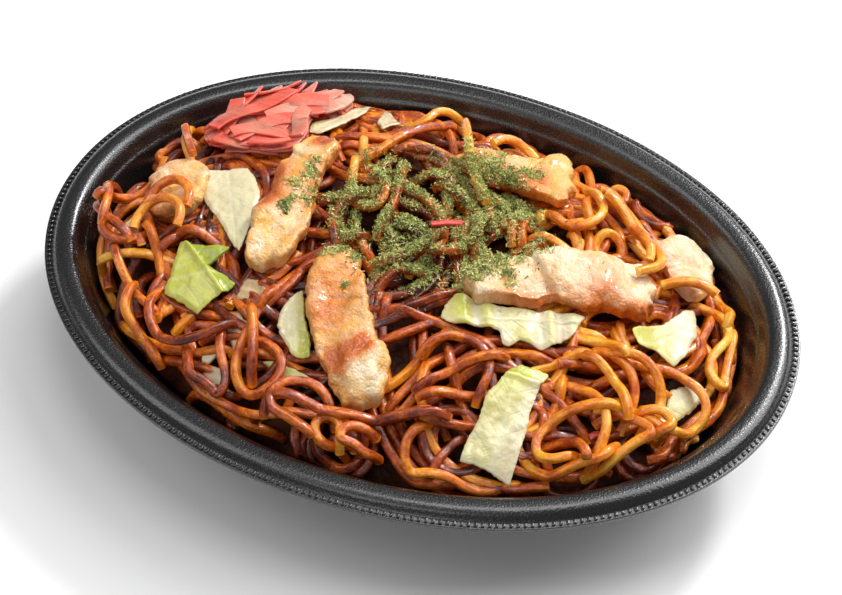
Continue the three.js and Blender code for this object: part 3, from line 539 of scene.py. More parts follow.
# ---------------------------------------------------------------------------
# Cabbage. Torn squares of leaf, softened in the pan: thin, wavy and wet, from
# cream at the rib to yellow green, with fine raised veins.
# ---------------------------------------------------------------------------
# corners in plan; lift: how high it lies over its seat; slope: how much it rises
# to the right and away; wave: how wavy; rib: the way the main vein runs; green:
# how green at either side along "fade"; curl: side that turns up, and how far;
# flap: line beyond which it is folded over; ruffle: way, pace and depth of folds
CABBAGE = {
    "cabbage_white": dict(
        corners=[(-76.4, 2.4), (-74, 6.4), (-62, 12.2), (-58.4, 9.1), (-53.4, 3.2), (-51, -2.7), (-50.4, -8.8),
        (-49.4, -20.5), (-52, -19.2), (-60.4, -11.4), (-67.8, -5.4)],
        lift=1.2, wave=0.8, rib=-60, fade=300, green=(0.12, 0.36), curl=(165, 2.9)),
    "cabbage_green": dict(
        corners=[(-68.7, -22.5), (-52.4, -21), (-57.1, -27.3), (-45.4, -31.5), (-53.1, -43.1), (-66.2, -39.3)],
        lift=1.6, slope=(0.0, 0.04), wave=1.0, rib=20, fade=200, green=(0.70, 0.80), curl=(60, 1.0),
        flap=((-66.5, -22), (-57.6, -28.4))),
    "cabbage_behind_pork": dict(
        corners=[(-23.4, -30.6), (-20.5, -36.4), (-16.1, -42.4), (-14.6, -46.4), (-17.1, -48), (-20.4, -47.2),
        (-24.1, -44.5), (-27.7, -40.8), (-28.5, -36.8), (-27.5, -31.7), (-25.4, -27.8)],
        lift=1.0, wave=0.5, rib=115, fade=15, green=(0.10, 0.98), curl=(0, 0.3)),
    "cabbage_clear_a": dict(
        corners=[(-43.8, -28.8), (-40.4, -27.7), (-38, -27.9), (-35.5, -30.8), (-36, -33.3), (-37.5, -35.8),
        (-40, -35.4), (-43.8, -35.8)],
        lift=0.3, wave=0.3, rib=0, fade=0, green=(0.0, 0.03), curl=(0, 0.8)),
    "cabbage_clear_b": dict(
        corners=[(-46.1, -40.3), (-40.5, -39.6), (-37.1, -41.3), (-36.6, -46), (-36.9, -49.1), (-37.8, -50.8),
        (-41.7, -45.7)],
        lift=0.3, wave=0.3, rib=90, fade=0, green=(0.0, 0.04), curl=(0, 0.3)),
    "cabbage_strip": dict(
        corners=[(-28, -51.4), (-25.4, -50.2), (-18, -51), (-11.4, -52.2), (-11.4, -55), (-20, -54.6)],
        lift=0.4, wave=0.3, rib=0, fade=90, green=(0.8, 0.4), curl=(90, 0.3)),
    "cabbage_long": dict(
        corners=[(43.9, -26), (49.5, -25), (52.6, -25.4), (51.4, -29.8), (51.5, -36.9), (52.8, -47.8),
        (53.2, -59.7), (45.4, -58.9), (37.8, -59.1), (37.6, -54.8), (38.3, -46), (38.5, -39.6), (40.5, -34.3),
        (41.7, -29.4)],
        lift=1.4, slope=(0.0, -0.05), wave=1.2, rib=94, fade=90, green=(0.22, 0.55), curl=(180, 0.6),
        flap=((42.5, -31), (52, -29)), ruffle=(180, 0.35, 0.9)),
    "cabbage_under_pork": dict(
        corners=[(18, -12.4), (16.5, -16.5), (16.5, -21.3), (21.2, -22.6), (26, -21.2), (31.5, -19.4),
        (34.7, -19.2), (36.5, -22.1), (38.5, -22.5), (41.3, -19.4), (47.3, -19), (51.9, -14.4), (54.8, -9.5),
        (55.8, -3), (50.6, -3.6), (45, -6), (38.8, -8.6), (34, -10.4), (27, -12)],
        lift=1.0, wave=0.9, rib=25, fade=200, green=(0.20, 0.62), curl=(290, 0.6), ruffle=(25, 0.7, 1.3)),
    "cabbage_right": dict(
        corners=[(70.1, -3.3), (72.4, 0.4), (77.4, 6.8), (81.4, 15.4), (84, 18), (86.1, 14.4), (87.4, 9.3),
        (87.2, 2), (84.9, -5.2), (78.8, -4.3), (74.4, -6.4)],
        lift=3.2, wave=1.0, rib=60, fade=205, green=(0.16, 0.74), curl=(205, 3.0)),
    "cabbage_yellow": dict(
        corners=[(-51.6, 37), (-53.6, 42), (-48.4, 47.4), (-45.6, 52.6), (-44.4, 60), (-41.6, 64), (-40.4, 57),
        (-43, 46), (-48, 37.4)],
        lift=0.6, wave=0.4, rib=70, fade=160, green=(0.05, 0.5), curl=(0, 0.5)),
    "cabbage_tip": dict(
        corners=[(-34, 51.4), (-35.6, 62.4), (-31, 57.6), (-27, 54), (-30.6, 47.4)],
        lift=0.8, wave=0.3, rib=100, fade=0, green=(0.05, 0.0), curl=(0, 0.3)),
    "cabbage_low_right": dict(
        corners=[(86, -11.4), (90, -7), (95.4, -4), (95, -8), (93.6, -14), (90, -20), (87, -19)],
        lift=0.3, wave=0.4, rib=60, fade=100, green=(0.5, 0.25), curl=(0, 0.4)),
    "cabbage_low_left": dict(
        corners=[(-88.6, -10), (-85.6, -11.4), (-90.2, -21.6), (-93.4, -19.6)],
        lift=0.4, wave=0.2, rib=110, fade=90, green=(0.05, 0.2), curl=(0, 0.2)),
    "cabbage_bit_a": dict(
        corners=[(-47, -53), (-44, -51.6), (-42, -53.4), (-43.6, -56), (-46.2, -55.8)],
        lift=0.3, wave=0.1, rib=0, fade=0, green=(0.1, 0.1), curl=(0, 0.2)),
    "cabbage_bit_b": dict(
        corners=[(-44.5, -58), (-42.4, -56.4), (-38.1, -56.1), (-36, -60.1), (-39.2, -61.8), (-42.6, -60.8)],
        lift=0.3, wave=0.1, rib=0, fade=0, green=(0.0, 0.1), curl=(0, 0.2)),
}
# scraps that lie low, with noodles over them
LOW_LEAVES = ("cabbage_clear_a", "cabbage_clear_b", "cabbage_low_right", "cabbage_low_left",
              "cabbage_bit_a", "cabbage_bit_b", "cabbage_strip")
LEAF_STEPS, LEAF_THICK, VEIN_GAP = 220, 0.8, 6.5


def leaf_finish():
    f = Finish("cabbage_leaf")
    green, vein = f.value("green"), f.value("vein")
    broad, fine = f.cloud(110.0, 3.0), f.cloud(900.0, 4.0)
    share = (green + (broad - 0.5) * 0.30 + (fine - 0.5) * 0.08).clip()
    colour = f.ramp(share, [(0.0, (0.48, 0.30, 0.14)), (0.10, (0.70, 0.60, 0.38)), (0.3, (0.72, 0.67, 0.41)),
                            (0.48, (0.67, 0.61, 0.24)), (0.66, (0.58, 0.57, 0.12)), (0.85, (0.49, 0.53, 0.06)),
                            (1.0, (0.32, 0.38, 0.03))])
    colour = f.blend((vein * 0.2).clip(), colour, (0.86, 0.84, 0.58, 1))
    colour = f.blend(((broad - 0.62) * 3.0).clip() * 0.3, colour, (0.74, 0.46, 0.14, 1))
    normal = f.bump(vein * 0.25 + fine * 0.25 + broad * 0.8, 0.0008)
    return f.close(colour, (0.14 + fine * 0.22).clip(), normal,
                   coat=(0.55, 0.05), flesh=(0.3, (0.8, 0.9, 0.2), 0.003))


def middle_of(corners):
    """Centre of area of an outline."""
    x, y = np.array(corners, float).T
    w = x * np.roll(y, -1) - np.roll(x, -1) * y
    return ((x + np.roll(x, -1)) * w).sum() / (3 * w.sum()), ((y + np.roll(y, -1)) * w).sum() / (3 * w.sum())


def even_ring(corners, count, soften=1.1):
    """Corners joined by straight edges, softened a little and cut into even steps."""
    p = np.array(list(corners) + [corners[0]], float)
    steps = np.concatenate([[0], np.cumsum(np.hypot(*np.diff(p, axis=0).T))])
    s = np.linspace(0, steps[-1], count, endpoint=False)
    ring = np.column_stack([np.interp(s, steps, p[:, k]) for k in (0, 1)])
    reach = max(1, int(soften / (steps[-1] / count)))
    return sum(np.roll(ring, k, 0) for k in range(-reach, reach + 1)) / (2 * reach + 1)


def cabbage_leaf(name, finish, seed, corners, lift, wave, rib, fade, green, curl,
                 slope=(0.0, 0.0), flap=None, ruffle=(0, 0, 0)):
    mx, my = middle_of(corners)
    ring = even_ring(corners, LEAF_STEPS, 0.7)
    out = ring - (mx, my)
    far = np.hypot(*out.T)
    span = far.max()
    ragged = bumps(ring, (0.35, 0.9, seed), (0.5, 0.25, seed))
    out = out * (1 + ragged / np.maximum(4.0, far))[:, None]
    levels = np.concatenate([np.linspace(0.05, 0.93, 24), [0.97, 1.0]])
    way = lambda deg: (math.cos(math.radians(deg)), math.sin(math.radians(deg)))
    (ca, sa), cu, fa, ru = way(rib), way(curl[0]), way(fade), way(ruffle[0])
    reach = np.abs(out @ fa).max()

    def surface(p):
        """Level of the leaf's under side, how much vein there is, and how green it is."""
        x, y = p.T
        dx, dy = x - mx, y - my
        u, v = dx / span, dy / span
        bend = np.sin(3.1 * u + 1.7 * v + seed) + 0.6 * np.sin(4.3 * v - 2.2 * u + 2.3 * seed)
        rise = lift + slope[0] * dx + slope[1] * dy + wave * 0.5 * bend
        rise = rise + curl[1] * np.maximum(0, u * cu[0] + v * cu[1] - 0.25) ** 1.6 * 3.0
        along = dx * ru[0] + dy * ru[1]
        fold = np.sin(along * ruffle[1] + 0.9 * np.sin(along * 0.31 + seed)) * np.clip(np.hypot(u, v) * 2.2, 0, 1)
        rise = rise + ruffle[2] * 0.5 * fold
        crinkle = bumps(p, (0.6, 0.17, seed + 3), (0.22, 0.45, seed + 6))
        s, d = dx * ca + dy * sa, -dx * sa + dy * ca
        main = np.exp(-((d / (0.7 - 0.015 * s)) ** 2))
        gap = (s - np.abs(d) * 1.2 + 0.04 * d * d) / VEIN_GAP
        branch = np.exp(-((np.abs(gap - np.round(gap)) * VEIN_GAP / 0.3) ** 2)) * np.clip(np.abs(d) / 1.5, 0, 1)
        vein = np.maximum(main, 0.55 * branch)
        share = np.clip(0.5 + (dx * fa[0] + dy * fa[1]) / reach / 2, 0, 1) ** 1.3
        shade = green[0] + (green[1] - green[0]) * share + 0.16 * ruffle[2] * fold
        if flap:
            (ax, ay), (bx, by) = flap
            side = ((x - ax) * (by - ay) - (y - ay) * (bx - ax)) / math.hypot(bx - ax, by - ay)
            over_it = np.clip(-side / 0.5, 0, 1)
            shade = shade + 0.26 * over_it
            rise = rise + 0.9 * np.exp(-((side / 1.3) ** 2)) - 0.5 * over_it
        return seat(x, y) + np.maximum(0.05, rise + crinkle * min(1.0, span / 12)) + 0.10 * vein, vein, shade

    plans = [np.array([mx, my]) + out * k for k in levels]
    tops, veins, greens = zip(*[surface(p) for p in plans])
    rings = [np.column_stack([p, z + LEAF_THICK * min(1.0, 0.45 + 4 * (1 - k))])
             for p, z, k in zip(plans, tops, levels)]
    rings += [np.column_stack([p, z]) for p, z in zip(plans[::-1], tops[::-1])]
    (hub,), (hub_vein,), (hub_green,) = surface(np.array([[mx, my]]))
    points = np.vstack([*rings, [[mx, my, hub + LEAF_THICK], [mx, my, hub]]])
    both = lambda rows, last: np.concatenate([*rows, *rows[::-1], [last, last]])
    piece = new_piece(name + "_leaf", points, skin_faces(len(points), LEAF_STEPS), finish,
                      green=both(greens, hub_green), vein=both(veins, hub_vein))
    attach(piece, "root")
    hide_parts(name)
    return piece


cabbage_green = leaf_finish()
leaves = {name: cabbage_leaf(name, cabbage_green, 1.3 * k, **spec) for k, (name, spec) in enumerate(CABBAGE.items())}

# ---------------------------------------------------------------------------
# Red ginger. Shreds of young ginger pickled in plum vinegar, tossed on in a
# loose pinch that leans on the wall: thin, folded, wet and a little clear.
# ---------------------------------------------------------------------------
GINGER_FOOT = [(-83, 27), (-82, 36), (-77.6, 45), (-69.4, 54), (-59, 60), (-47.6, 60), (-47.6, 52.6), (-50.6, 47.8),
               (-56, 43), (-54.4, 36.6), (-51.6, 31), (-51.8, 24.6), (-57, 21.6), (-67, 20.4), (-78, 21)]
FOOT_STEPS, MOUND_TOP, MOUND_EDGE = 90, 42.5, 9
SHRED_BEND = 22.0
SHREDS, SIDE_SHREDS = 50, 44
# loose pieces: where each starts and ends, its width and its thickness
LOOSE_GINGER = {"ginger_strip": ((1.5, 9.2), (12, 14.2), 1.9, 1.3),
                "ginger_crumb": ((69.6, -37.6), (72.4, -35.6), 2.1, 1.5)}
GRID, GRID_X, GRID_Y = 0.5, 112, 84


class Pile:
    """The level of everything laid so far, kept on a fine grid in plan."""

    def __init__(self, level):
        self.x, self.y = np.arange(-GRID_X, GRID_X + 0.01, GRID), np.arange(-GRID_Y, GRID_Y + 0.01, GRID)
        self.gx, self.gy = np.meshgrid(self.x, self.y)
        self.top = level(self.gx, self.gy)

    def cell(self, x, y):
        i = np.clip(np.rint((x + GRID_X) / GRID).astype(int), 0, len(self.x) - 1)
        j = np.clip(np.rint((y + GRID_Y) / GRID).astype(int), 0, len(self.y) - 1)
        return j, i

    def spots(self, reach):
        k = np.arange(-int(reach / GRID), int(reach / GRID) + 1) * GRID
        dx, dy = np.meshgrid(k, k)
        keep = np.hypot(dx, dy) <= reach
        return dx[keep], dy[keep]

    def under(self, plan, reach):
        dx, dy = self.spots(reach)
        return self.top[self.cell(plan[:, :1] + dx, plan[:, 1:2] + dy)].max(1)

    def press(self, path, radius, flat=1.0):
        dx, dy = self.spots(radius)
        up = np.sqrt(np.maximum(0, radius**2 - dx**2 - dy**2)) * flat
        at = self.cell(path[:, :1] + dx, path[:, 1:2] + dy)
        np.maximum.at(self.top, at, path[:, 2:3] + up)


def track(x, y, heading, length, *turns, step=1.0):
    """Plan of a strand: where it starts and heads, and how it turns in equal parts."""
    n = max(4, int(round(length / step)))
    at = np.clip((np.arange(n) + 0.5) / n * len(turns) - 0.5, 0, len(turns) - 1)
    bend = np.interp(at, np.arange(len(turns)), np.radians(turns)) * len(turns) / n
    a = math.radians(heading) + np.cumsum(bend)
    px = x + np.concatenate([[0], np.cumsum(np.cos(a))]) * length / n
    py = y + np.concatenate([[0], np.cumsum(np.sin(a))]) * length / n
    return np.column_stack([px, py])


def over(level, bend, reach=16, sign=1.0):
    """The gentlest curve that stays over a level (or under it, with sign -1)."""
    n = len(level)
    best = np.full(n, -np.inf)
    for k in range(-reach, reach + 1):
        a, b = max(0, -k), min(n, n - k)
        if a < b:
            best[a:b] = np.maximum(best[a:b], sign * level[a + k:b + k] - k * k / (2 * bend))
    return sign * best


def eased(z, times):
    """A row of levels or places, each drawn towards the ones next to it."""
    for _ in range(times):
        z = (np.concatenate([z[:1], z[:-1]]) + 2 * z + np.concatenate([z[1:], z[-1:]])) / 4
    return z


def sideways(plan):
    """Directions square to a line in plan, to its left."""
    d = np.gradient(plan, axis=0)
    d /= np.hypot(*d.T)[:, None]
    return np.column_stack([-d[:, 1], d[:, 0]])


def edge_gap(corners, x, y):
    """Distance to an outline, less than nothing inside it."""
    best = np.full(np.shape(x), np.inf)
    inside = np.zeros(np.shape(x), bool)
    for (ax, ay), (bx, by) in zip(corners, corners[1:] + corners[:1]):
        f = np.clip(((x - ax) * (bx - ax) + (y - ay) * (by - ay)) / ((bx - ax) ** 2 + (by - ay) ** 2), 0, 1)
        best = np.minimum(best, np.hypot(x - ax - f * (bx - ax), y - ay - f * (by - ay)))
        cut = ((ay > y) != (by > y)) & (x < (bx - ax) * (y - ay) / ((by - ay) or 1e-9) + ax)
        inside ^= cut
    return np.where(inside, -best, best)


def swept_tree(name):
    """Strands with a rounded four-sided section, along the edges of a mesh."""
    tree, given, result = new_tree(name, Width="Float", Depth="Float", Corner="Float", Finish="Material")
    named = lambda key: wired(tree, "GeometryNodeInputNamedAttribute", {"Name": key}, data_type="FLOAT")
    curve = wired(tree, "GeometryNodeMeshToCurve", {0: given["Geometry"]})
    face_up = wired(tree, "GeometryNodeSetCurveNormal", {0: curve}, mode="Z_UP")
    tilt = wired(tree, "GeometryNodeSetCurveTilt", {0: face_up, "Tilt": named("roll")})
    girth = wired(tree, "GeometryNodeSetCurveRadius", {0: tilt, "Radius": named("girth")})
    box = wired(tree, "GeometryNodeCurvePrimitiveQuadrilateral", {"Width": given["Width"], "Height": given["Depth"]})
    section = wired(tree, "GeometryNodeFilletCurve", {0: box, "Radius": given["Corner"], "Count": 2}, mode="POLY")
    share = wired(tree, "GeometryNodeSplineParameter").outputs["Factor"]
    half = wired(tree, "ShaderNodeMath", {0: share, 1: 0.5}, operation="PINGPONG")
    marked = wired(tree, "GeometryNodeStoreNamedAttribute", {"Geometry": section, "Name": "around", "Value": half},
                   data_type="FLOAT", domain="POINT")
    body = wired(tree, "GeometryNodeCurveToMesh", {"Curve": girth, "Profile Curve": marked, "Fill Caps": True})
    whole = wired(tree, "GeometryNodeRealizeInstances", {0: body})
    end_tree(tree, wired(tree, "GeometryNodeSetShadeSmooth", {0: whole}), given, result)
    return tree


def strands(name, runs, width, depth, corner, finish):
    """One piece of many strands: each run is its path and a row of values per point."""
    points, edges, values = [], [], {}
    for path, facts in runs:
        first = len(points)
        points.extend((path * MM).tolist())
        edges.extend((first + k, first + k + 1) for k in range(len(path) - 1))
        for key, v in facts.items():
            values.setdefault(key, []).extend(np.broadcast_to(v, len(path)).tolist())
    piece = new_object(name, points, edges, **values)
    grow(piece, sweep, Width=width * MM, Depth=depth * MM, Corner=corner * MM, Finish=finish)
    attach(piece, "root")
    return piece


def ginger_finish():
    f = Finish("pickled_ginger")
    tone = f.value("tone")
    streak = f.cloud(420.0, 3.0, (0, 0, math.radians(-58)), (0.25, 1.4, 1.4))
    fine = f.cloud(1500.0, 3.0)
    share = (tone + (streak - 0.5) * 0.6 + (fine - 0.5) * 0.2).clip()
    colour = f.ramp(share, [(0.0, (0.52, 0.035, 0.026)), (0.3, (0.78, 0.105, 0.070)),
                            (0.6, (0.86, 0.23, 0.155)), (1.0, (0.92, 0.46, 0.34))])
    normal = f.bump(streak * 0.5 + fine * 0.2, 0.0005)
    return f.close(colour, (0.18 + fine * 0.25).clip(), normal,
                   coat=(0.35, 0.12), flesh=(0.5, (1.0, 0.25, 0.2), 0.005))


def mound(x, y):
    """Level of the ginger's heart, on which the shreds lie."""
    share = np.clip(-edge_gap(GINGER_FOOT, x, y) / MOUND_EDGE, 0, 1) ** 0.5
    return seat(x, y) + (MOUND_TOP - seat(x, y)) * share


pickled = ginger_finish()
sweep = swept_tree("swept_strands")
hub = gx, gy = middle_of(GINGER_FOOT)
foot = even_ring(GINGER_FOOT, FOOT_STEPS)
plans = [hub + (foot - hub) * k for k in np.linspace(0.1, 0.96, 14)]
rings = [np.column_stack([p, mound(*p.T) + 0.2]) for p in plans]
rings += [np.column_stack([p, seat(*p.T) - 0.2]) for p in [plans[-1], hub + (foot - hub) * 0.5]]
points = np.vstack([*rings, [[gx, gy, mound(gx, gy) + 0.2], [gx, gy, seat(gx, gy) - 0.2]]])
heart = new_piece("ginger_heart", points, skin_faces(len(points), FOOT_STEPS), pickled, tone=np.full(len(points), 0.32))
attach(heart, "root")
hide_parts("red_ginger")


def shred(plan, z, wide, share, draw):
    """A strip laid flat to the heap's slope, with rounded tips and a slight twist."""
    left, right = plan + sideways(plan) * 2, plan - sideways(plan) * 2
    lean = eased(np.arctan2(mound(*left.T) - mound(*right.T), 4.0), 8)
    u = np.linspace(0, 1, len(plan))
    girth = wide * np.maximum(0.08, 1 - np.abs(2 * u - 1) ** 9) ** 0.5 * (1 + 0.16 * np.sin(7 * u + 54 * share))
    roll = lean + draw.uniform(-0.15, 0.15) + draw.uniform(-0.5, 0.5) * (u - 0.5)
    tone = 0.50 + 0.13 * draw.normal() + 0.08 * np.sin(5 * u) + 0.007 * (plan[:, 0] - gx)
    return np.column_stack([plan, z]), {"girth": girth, "roll": roll, "tone": tone}


# short shreds stand round the foot, and longer ones are let down over the heart
runs = []
rng = np.random.default_rng(5)
for n in range(SIDE_SHREDS):
    first, count = rng.integers(FOOT_STEPS), rng.integers(8, 15)
    line = hub + (np.roll(foot, -first, axis=0)[:count] - hub) * rng.uniform(0.93, 0.985)
    s = np.arange(0, count - 1, 0.6)
    plan = np.column_stack([np.interp(s, np.arange(count), line[:, k]) for k in (0, 1)])
    z = seat(*plan.T) + rng.uniform(1.0, 6.0) + rng.uniform(-1.6, 1.6) * np.linspace(-0.5, 0.5, len(s))
    runs.append(shred(plan, z, rng.uniform(0.5, 0.95), n / SIDE_SHREDS, rng))
rng = np.random.default_rng(88)
pile = Pile(mound)
for n in range(SHREDS):
    a, b = rng.uniform(-0.5, 0.5), rng.uniform(-1, 1)
    x, y = gx - 6.5 + 35 * a + 6 * b, gy - 10 - 26 * a + 8 * b
    plan = track(x, y, 57 + rng.normal(0, 11), rng.uniform(18, 38), *rng.uniform(-42, 42, 2), step=0.8)
    plan = plan[edge_gap(GINGER_FOOT, *plan.T) < -0.8]
    if len(plan) < 14 or np.hypot(*np.diff(plan, axis=0).T).max() > 2:
        continue
    wide = rng.uniform(0.62, 1.2)
    z = eased(over(pile.under(plan, 1.5 * wide) + 0.3, SHRED_BEND), 6)
    pile.press(np.column_stack([plan, z]), 1.9 * wide, 0.12)
    runs.append(shred(plan, z, wide, n / SHREDS, rng))
ginger = strands("ginger_shreds", runs, 5.4, 0.9, 0.36, pickled)
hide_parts("red_ginger")
for name, (start, stop, wide, deep) in LOOSE_GINGER.items():
    u = np.linspace(0, 1, 18)
    x, y = start[0] + (stop[0] - start[0]) * u, start[1] + (stop[1] - start[1]) * u + 0.9 * np.sin(np.pi * u)
    path = np.column_stack([x, y, seat(x, y) + deep * 0.55 + 0.3])
    facts = {"girth": 1 - 0.3 * np.abs(2 * u - 1) ** 4, "roll": 0.2 * np.sin(4 * u), "tone": 0.12 + 0.1 * u}
    bit = strands(name + "_bit", [(path, facts)], wide, deep, 0.4, pickled)
    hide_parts(name)

# ---------------------------------------------------------------------------
# Noodles. Wheat noodles cut square from a steamed sheet, loosened with water
# and fried in thick sauce: glossy, springy and stained unevenly.
# ---------------------------------------------------------------------------
NOODLE, NOODLE_CORNER = 2.75, 0.8
BUNDLES, SPACING = 350, 2.9
LAID_RADIUS = 1.42
# share of its radius by which a strand's middle clears what is under it, the
# length and depth of an end that dips out of sight, the tightest bend up or down
SETTLE, TUCK, TUCK_DEPTH, NOODLE_BEND = 0.84, 6.0, 3.4, 16.0
# strands that lie on top: tone, start, heading, length, turn in equal parts
LAID = [
    (0.80, 67, -11, -4, 57, 35, -123, -125), (0.85, 75, 24, 21, 70, -42, -129, 225, 60),
    (0.78, 68, -13, -2, 19, -98), (0.78, 73, -12, 17, 23, -129), (0.70, 74, -30, 42, 19, -92),
    (0.78, 85, -26, 39, 11, -138), (0.78, 74, -30, -10, 32, 8, -150, -3), (0.78, 51, -29, 42, 36, -144),
    (0.78, 77, -43, -99, 31, -130), (0.78, 71, -32, -153, 34, 8, 184), (0.55, 56, -47, 55, 19, -111),
    (0.78, 53, -42, 39, 15, 62), (0.78, 51, -22, 40, 33, -16), (0.85, 54, -9, 16, 14, -42),
    (0.85, 54, -6, 3, 18, -13), (0.78, 52, -31, -54, 7, -55), (0.78, 65, -18, -17, 15, -41),
    (0.75, 19, -41, -83, 36, 93), (0.72, 23, -57, -127, 40, 154, 9), (0.50, -20, -65, 17, 45, 0),
    (0.55, -47, -62, -43, 32, 66), (0.45, -49, -44, 21, 49, -116, 67, -100, -116, 4),
    (0.60, -35, -42, -91, 48, 4, 150, 106), (0.52, -35, -42, -61, 14, -10), (0.52, -48, -29, -65, 29, 66),
    (0.50, -20, -65, 99, 25, -152), (0.70, 3, -65, 92, 22, 319), (0.52, 8, -63, -181, 18, 233),
    (0.52, -18, -67, -71, 11, 77), (0.52, -20, -49, -18, 15, 38), (0.45, -13, -64, 5, 41, 21),
    (0.85, -94, -34, 28, 22, -18), (0.50, -86, -32, -54, 19, 34), (0.45, -95, -24, -69, 28, 213),
    (0.50, -107, -14, -30, 22, 2), (0.50, -108, -2, -31, 22, -46), (0.45, -83, -23, 140, 34, -267),
    (0.50, -84, -13, 137, 30, -237), (0.50, -98, -12, 49, 23, 49), (0.50, -82, -18, -61, 17, 64),
    (0.40, -69, -39, -99, 38, 156), (0.50, -78, -23, -43, 23, -30), (0.60, -76, -44, -88, 20, 78),
    (0.50, -66, -18, 12, 28, -93), (0.78, 37, 43, 22, 39, -183, -182), (0.78, 43, 36, 135, 52, -150, -29, -47),
    (0.78, 36, 29, -35, 25, 181), (0.78, 51, 24, 158, 20, -249), (0.90, 7, 52, 93, 18, -147),
    (0.90, -66, 16, 93, 23, -154), (0.78, -43, 57, -54, 21, -16), (0.78, -38, 58, -67, 19, 15),
    (0.60, -14, 57, -122, 35, 14), (0.78, -31, 61, -33, 24, -1, 150, -109), (0.90, 94, 40, -89, 15, 0),
    (0.78, -91, 27, -77, 15, 36), (0.78, 35, 21, 28, 11, -69), (0.78, 26, 58, -13, 19, -16),
    (0.50, 18, -31, 68, 29, -167), (0.50, 22, -43, 54, 19, -18), (0.50, 25, -46, 31, 14, 5),
    (0.50, 29, -51, 31, 11, -14), (0.45, 1, 26, -9, 25, -74), (0.50, 9, 27, -11, 10, -53),
    (0.50, -37, -21, 38, 24, 5), (0.50, -34, -31, 77, 20, -26), (0.50, -4, -26, 116, 18, -86),
    (0.70, -29, 21, -73, 35, -5, 150, 74), (0.50, -24, -7, 127, 17, -76), (0.50, -15, 27, -73, 24, -18),
    (0.50, -17, 39, 37, 22, -116), (0.50, 6, -2, 6, 20, 97), (0.50, -4, -10, 21, 15, 54),
]
# strands that cross the toppings
CROSSING = [
    (0.58, -85, -14, 97, 29, -9, -38, -54, -30, -35, -19), (0.66, -84, -24, 108, 30, -17, -67, -32, -50, -41),
    (0.74, 43, 46, 36, 48, -77, -4, 7, 7, -95, -7), (0.72, 46, 43, -10, 30, -28, 2, 1, -67),
    (0.86, -7, 60, -65, 45, 0, 6, 11), (0.76, 72, 20, 25, 19, 4, -21, -28), (0.42, -91, 26, -57, 20, 1, 5),
    (0.80, 5, 52, 68, 19, -11, -67, -24),
]


def noodle_finish():
    f = Finish("sauced_noodles")
    tone = f.value("tone")
    stain, fine = f.cloud(170.0, 4.0), f.cloud(1000.0, 4.0)
    streak = f.streaks(f.value("run") * 0.3, f.value("around") * 6.0, 1.0)
    share = (tone + (stain - 0.5) * 0.6 + (streak - 0.5) * 0.55 + (fine - 0.5) * 0.4).clip()
    colour = f.ramp(share, [(0.0, (0.040, 0.005, 0.002)), (0.22, (0.16, 0.018, 0.003)), (0.42, (0.41, 0.062, 0.006)),
                            (0.62, (0.71, 0.17, 0.008)), (0.82, (0.89, 0.335, 0.017)), (1.0, (0.95, 0.51, 0.065))])
    normal = f.bump(fine * 0.6 + streak * 0.5 + f.cloud(2300.0, 2.0) * 0.3, 0.0005)
    return f.close(colour, (0.10 + (stain - 0.4) * 0.35 + fine * 0.10).clip(), normal, shine=0.45,
                   coat=(0.45, 0.03), flesh=(0.15, (1.0, 0.35, 0.08), 0.002))


def pork_outline(line, half):
    """Outline of a slice in plan, from the line along it and its half widths."""
    curve = smooth_line(line, 6)
    wide = np.interp(np.linspace(0, 1, len(curve)), np.linspace(0, 1, len(half)), half)[:, None]
    side = sideways(curve) * wide
    return [tuple(p) for p in np.vstack([curve + side, (curve - side)[::-1]])]


sauced = noodle_finish()
rng = np.random.default_rng(41)
pile = Pile(lambda x, y: bed_top(x, y) + 0.4)
wall_gap = -edge_gap([tuple(p) for p in np.column_stack(oval(full_turn(240), 0.0))], pile.gx, pile.gy)
away_y, away_x = np.gradient(wall_gap, GRID)
covers = [spec["corners"] for name, spec in CABBAGE.items() if name not in LOW_LEAVES] + [GINGER_FOOT]
covers += [pork_outline(spec["line"], spec["half"]) for spec in PORK.values()]
cover_gap = np.min([edge_gap(c, pile.gx, pile.gy) for c in covers], axis=0)
aim = np.where(cover_gap < 1.0, seat(pile.gx, pile.gy) - 0.15, heap_top(pile.gx, pile.gy))


def off_wall(plan, need):
    """A plan pushed in from the oval as far as it needs, and how far it was short."""
    at = pile.cell(*plan.T)
    short = np.maximum(0, need - wall_gap[at])
    return plan + np.column_stack([away_x[at] * short, away_y[at] * short]), short.max()


def laid(plan, radius, tuck=0.0, covered=True):
    """A strand let down on the pile, off the wall and, if covered, under the toppings."""
    for _ in range(4):
        plan, short = off_wall(plan, wall_inset(heap_top(*plan.T) - radius) + radius + 2.2)
    plan = eased(plan, 6)
    z = over(pile.under(plan, radius) + SETTLE * radius, NOODLE_BEND)
    if tuck:
        s = np.arange(len(plan))
        z = z - TUCK_DEPTH * (np.clip(1 - s / tuck, 0, 1) ** 2 + np.clip(1 - s[::-1] / tuck, 0, 1) ** 2)
    if covered:
        cap = np.where(cover_gap[pile.cell(*plan.T)] < radius + 0.2, seat(*plan.T) - radius - 0.15, np.inf)
        z = np.minimum(z, over(cap, NOODLE_BEND, sign=-1.0))
    z = eased(z, 3)
    for _ in range(8):
        plan, short = off_wall(plan, wall_inset(z - radius * 0.4) + radius * 1.1 + 0.3)
        if short < 0.05:
            break
        plan = eased(plan, 2)
    return np.column_stack([plan, z])


def in_ellipse(middle, half, angle, share):
    """A place in an ellipse, a share of the way out from its middle."""
    return middle[0] + half[0] * share * math.cos(angle), middle[1] + half[1] * share * math.sin(angle)


